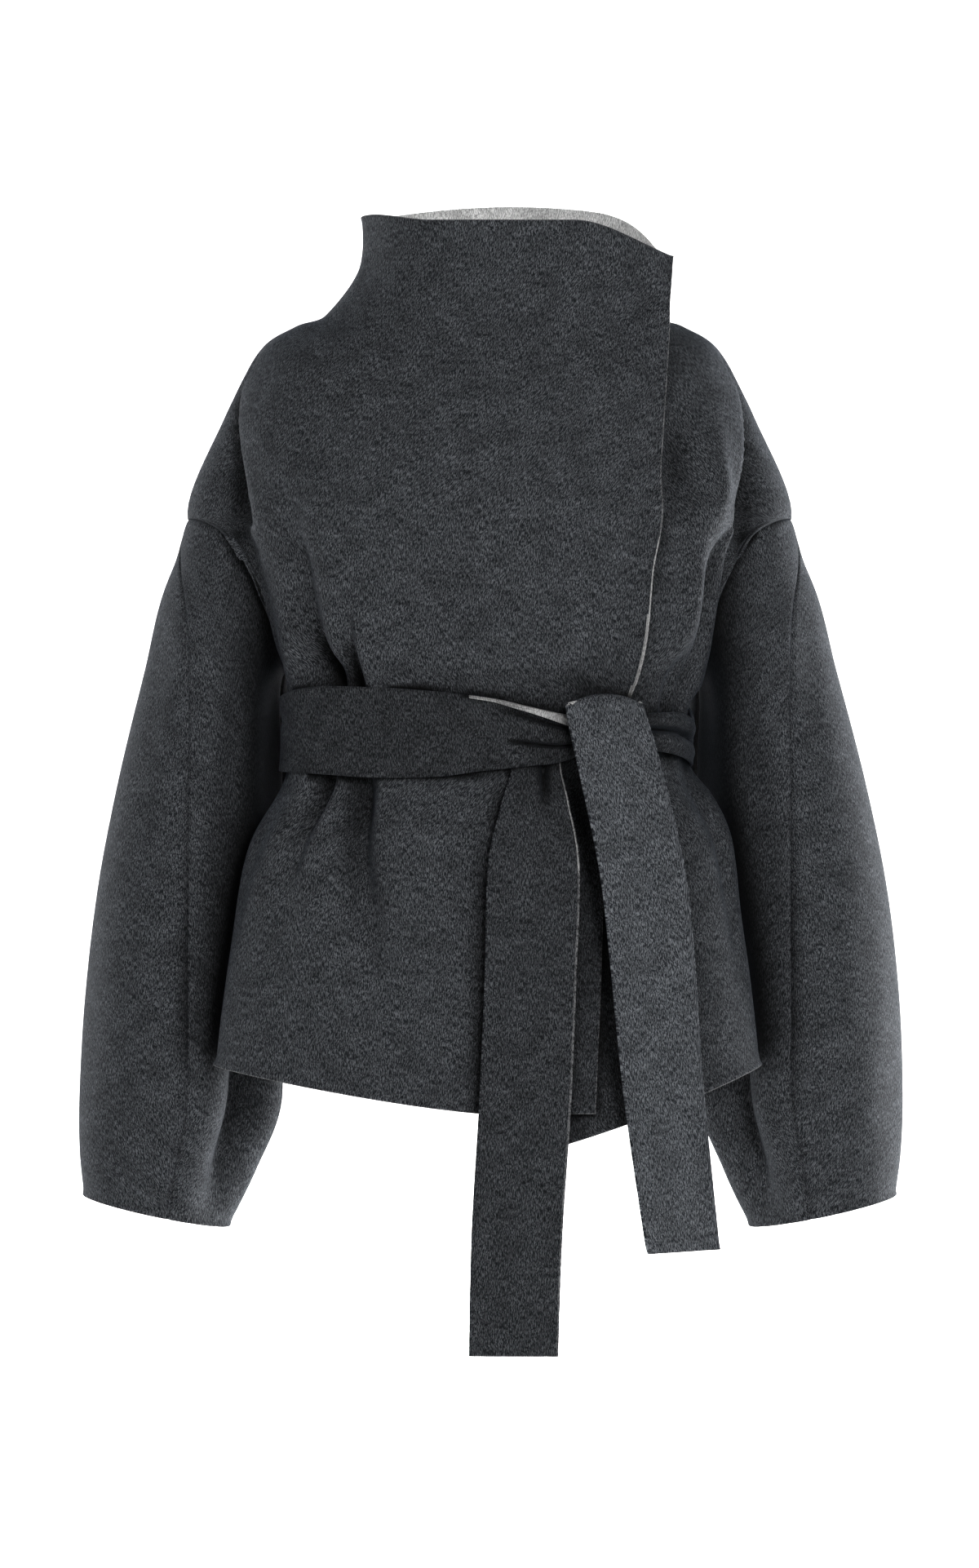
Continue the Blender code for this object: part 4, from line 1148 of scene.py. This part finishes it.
def place(piece, held, extra=()):
    """Gives a piece its body and hides the solid that it stands in for."""
    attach(piece, "root")
    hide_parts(piece.name.removesuffix("_cloth"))


pieces = []
front_levels = np.array(levels_of(FRONT_ROWS))
own, common = shared_normals(sewn)
for name, grid in sewn.items():
    free = FREE.get(name, ("bottom",))
    lift = np.zeros(grid.shape[:2])
    for side in ALL_SIDES:
        if side not in free:
            lift += border_lift(grid, side, SEAM_REACH, -SEAM_DIP)
    for side, reach, height in CURLS.get(name, CUFF_CURL):
        lift += border_lift(grid, side, reach, height)
    strip = None
    if name == "front_right":
        for reach, heights in EDGE_CURLS.items():
            lift += border_lift(grid, "last", reach, np.interp(front_levels, EDGE_LEVELS, heights))
        strip = np.interp(front_levels, *EDGE_STRIP)
    moved = parted(grid, own[name], common[name]) + common[name] * lift[..., None]
    turned_in = None
    if name in SEAM_SIDE:
        low, high = SEAM_SIDE[name]
        level = front_levels[:-1, None]
        column = np.arange(grid.shape[1] - 1)
        turned_in = (level > SEAM_LEVELS[0]) & (level < SEAM_LEVELS[1]) & (column >= low) & (column < high)
    # The back's inside takes the grey with painted light
    inside = collar_painted_light_grey if name == "back" else grey
    made = shell(
        name + "_cloth", moved, common[name], free, (charcoal, inside, edge_wool),
        strip=strip, faint=front_levels < FAINT_TO, turned_in=turned_in)
    place(made, "hung")
    pieces.append(made)

band = sash_grid()
edge = turned_edge_grid(band)
turned = shell("sash_turned_edge", edge, grid_normals(edge), ALL_SIDES, (grey, charcoal), TURNED_THICK)
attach(turned, "root")
made = shell(
    "sash_band_cloth", band, grid_normals(band), ALL_SIDES, (sash_painted_light_wool["sash_band"], grey), pale=())
place(made, "gathered", (turned,))
pieces += [turned, made]
# Rows of the long end whose right edge shows the pale face
LONG_PALE_ROWS = 66
# Rows at the knot whose inside is dark
TUCKED_ROWS = 40
STRIP_CURLS = (("last", 0.006, 0.0016), ("bottom", 0.006, 0.0010))
SHORT_END_CUP = 0.0075
for name, stations, steps, folds, cup, pale in (
    ("sash_long_end", LONG_END, LONG_ROWS, LONG_FOLDS, 0.0, ("last", "bottom")),
    ("sash_short_end", SHORT_END, SHORT_ROWS, SHORT_FOLDS, SHORT_END_CUP, ("bottom",)),
):
    strip = strip_grid(stations, steps, folds, cup)
    lift = sum(border_lift(strip, *curl) for curl in STRIP_CURLS)
    normals = grid_normals(strip)
    row = np.arange(steps + 1)
    shown = np.ones(steps + 1) if name == "sash_long_end" else None
    tucked = np.repeat(row[:-1, None] < TUCKED_ROWS, strip.shape[1] - 1, axis=1)
    made = shell(
        name + "_cloth", strip + normals * lift[..., None], normals, ALL_SIDES,
        (sash_painted_light_wool[name], grey, edge_wool),
        pale=pale, strip=shown, faint=row >= LONG_PALE_ROWS, turned_in=tucked)
    place(made, "hung")
    pieces.append(made)
paint_hollow_shade(pieces)

# A pale round studio floor that rises at its rim
FLOOR_Z = -1.10
FLOOR_RADIUS = 6.5
RIM_RADIUS = 2.5
RIM_TOP = 4.5
FLOOR_RINGS = 7
RIM_RINGS = 12
SPIN_STEPS = 96
profile = [(radius, FLOOR_Z) for radius in np.linspace(0.0, FLOOR_RADIUS, FLOOR_RINGS + 1)]
for step in range(1, RIM_RINGS + 1):
    angle = math.pi / 2 * step / RIM_RINGS
    rise = RIM_RADIUS * (1 - math.cos(angle))
    profile.append((FLOOR_RADIUS + RIM_RADIUS * math.sin(angle), FLOOR_Z + rise))
profile.append((FLOOR_RADIUS + RIM_RADIUS, RIM_TOP))
bowl = bmesh.new()
line = [bowl.verts.new((radius, 0, z)) for radius, z in profile]
edges = [bowl.edges.new(ends) for ends in zip(line, line[1:])]
bmesh.ops.spin(
    bowl, geom=line + edges, cent=(0, 0, 0), axis=(0, 0, 1),
    angle=2 * math.pi, steps=SPIN_STEPS, use_merge=True)
bmesh.ops.remove_doubles(bowl, verts=bowl.verts[:], dist=0.0001)
floor_mesh = bpy.data.meshes.new("studio_floor")
bowl.to_mesh(floor_mesh)
bowl.free()
floor_mesh.shade_smooth()
pale = bpy.data.materials.new("pale_floor")
pale.use_nodes = True
pale.node_tree.nodes["Principled BSDF"].inputs["Base Color"].default_value = (0.93, 0.93, 0.93, 1)
pale.node_tree.nodes["Principled BSDF"].inputs["Roughness"].default_value = 0.9
floor_mesh.materials.append(pale)
studio_floor = linked("studio_floor", floor_mesh)

# Soft studio light: place, point it looks at, size, power, spread in degrees
LIGHTS = {
    "key_right": ((0.9, -3.5, 0.45), (0.0, 0.0, -0.30), 0.7, 52, 180),
    "fill_left": ((-1.8, -3.2, 0.3), (0.0, 0.0, -0.30), 1.6, 6, 180),
    "rim_right": ((1.80, 1.05, -0.80), (0.28, 0.0, -0.55), 0.8, 74, 180),
    "rim_left": ((-1.8, 1.2, -0.3), (-0.28, 0.0, -0.50), 0.8, 22, 180),
    "backdrop_left": ((-2.2, 4.2, 2.6), (-0.6, 9.0, -0.4), 2.0, 300, 180),
    "backdrop_right": ((2.2, 4.2, 2.6), (0.6, 9.0, -0.4), 2.0, 300, 180),
    "floor_light": ((0.0, 3.6, 2.6), (0.0, 3.6, -1.1), 3.0, 190, 78),
}
for name, (place_at, target, size, power, spread) in LIGHTS.items():
    lamp = bpy.data.lights.new(name, "AREA")
    lamp.size = size
    lamp.energy = power
    lamp.spread = math.radians(spread)
    made = linked(name, lamp)
    made.location = place_at
    way = np.array(target) - np.array(place_at)
    tilt = math.acos(-way[2] / np.linalg.norm(way))
    made.rotation_euler = (tilt, 0, math.atan2(way[1], way[0]) - math.pi / 2)
world = bpy.data.worlds.new("studio")
world.use_nodes = True
world.node_tree.nodes["Background"].inputs["Color"].default_value = (1, 1, 1, 1)
world.node_tree.nodes["Background"].inputs["Strength"].default_value = 0.12
bpy.context.scene.world = world
bpy.context.scene.view_settings.view_transform = "Standard"

# Camera straight in front, at the height of the picture's middle
PICTURE_HEIGHT = 1.19164
CAMERA_AWAY = 4.0
CAMERA_Z = -0.3478
SENSOR_WIDTH = 36
camera = linked("camera", bpy.data.cameras.new("camera"))
camera.data.sensor_width = SENSOR_WIDTH
camera.data.lens = SENSOR_WIDTH * CAMERA_AWAY / PICTURE_HEIGHT
camera.data.clip_end = 60
camera.location = (0, -CAMERA_AWAY, CAMERA_Z)
camera.rotation_euler = (math.pi / 2, 0, 0)
bpy.context.scene.camera = camera

bpy.context.view_layer.update()
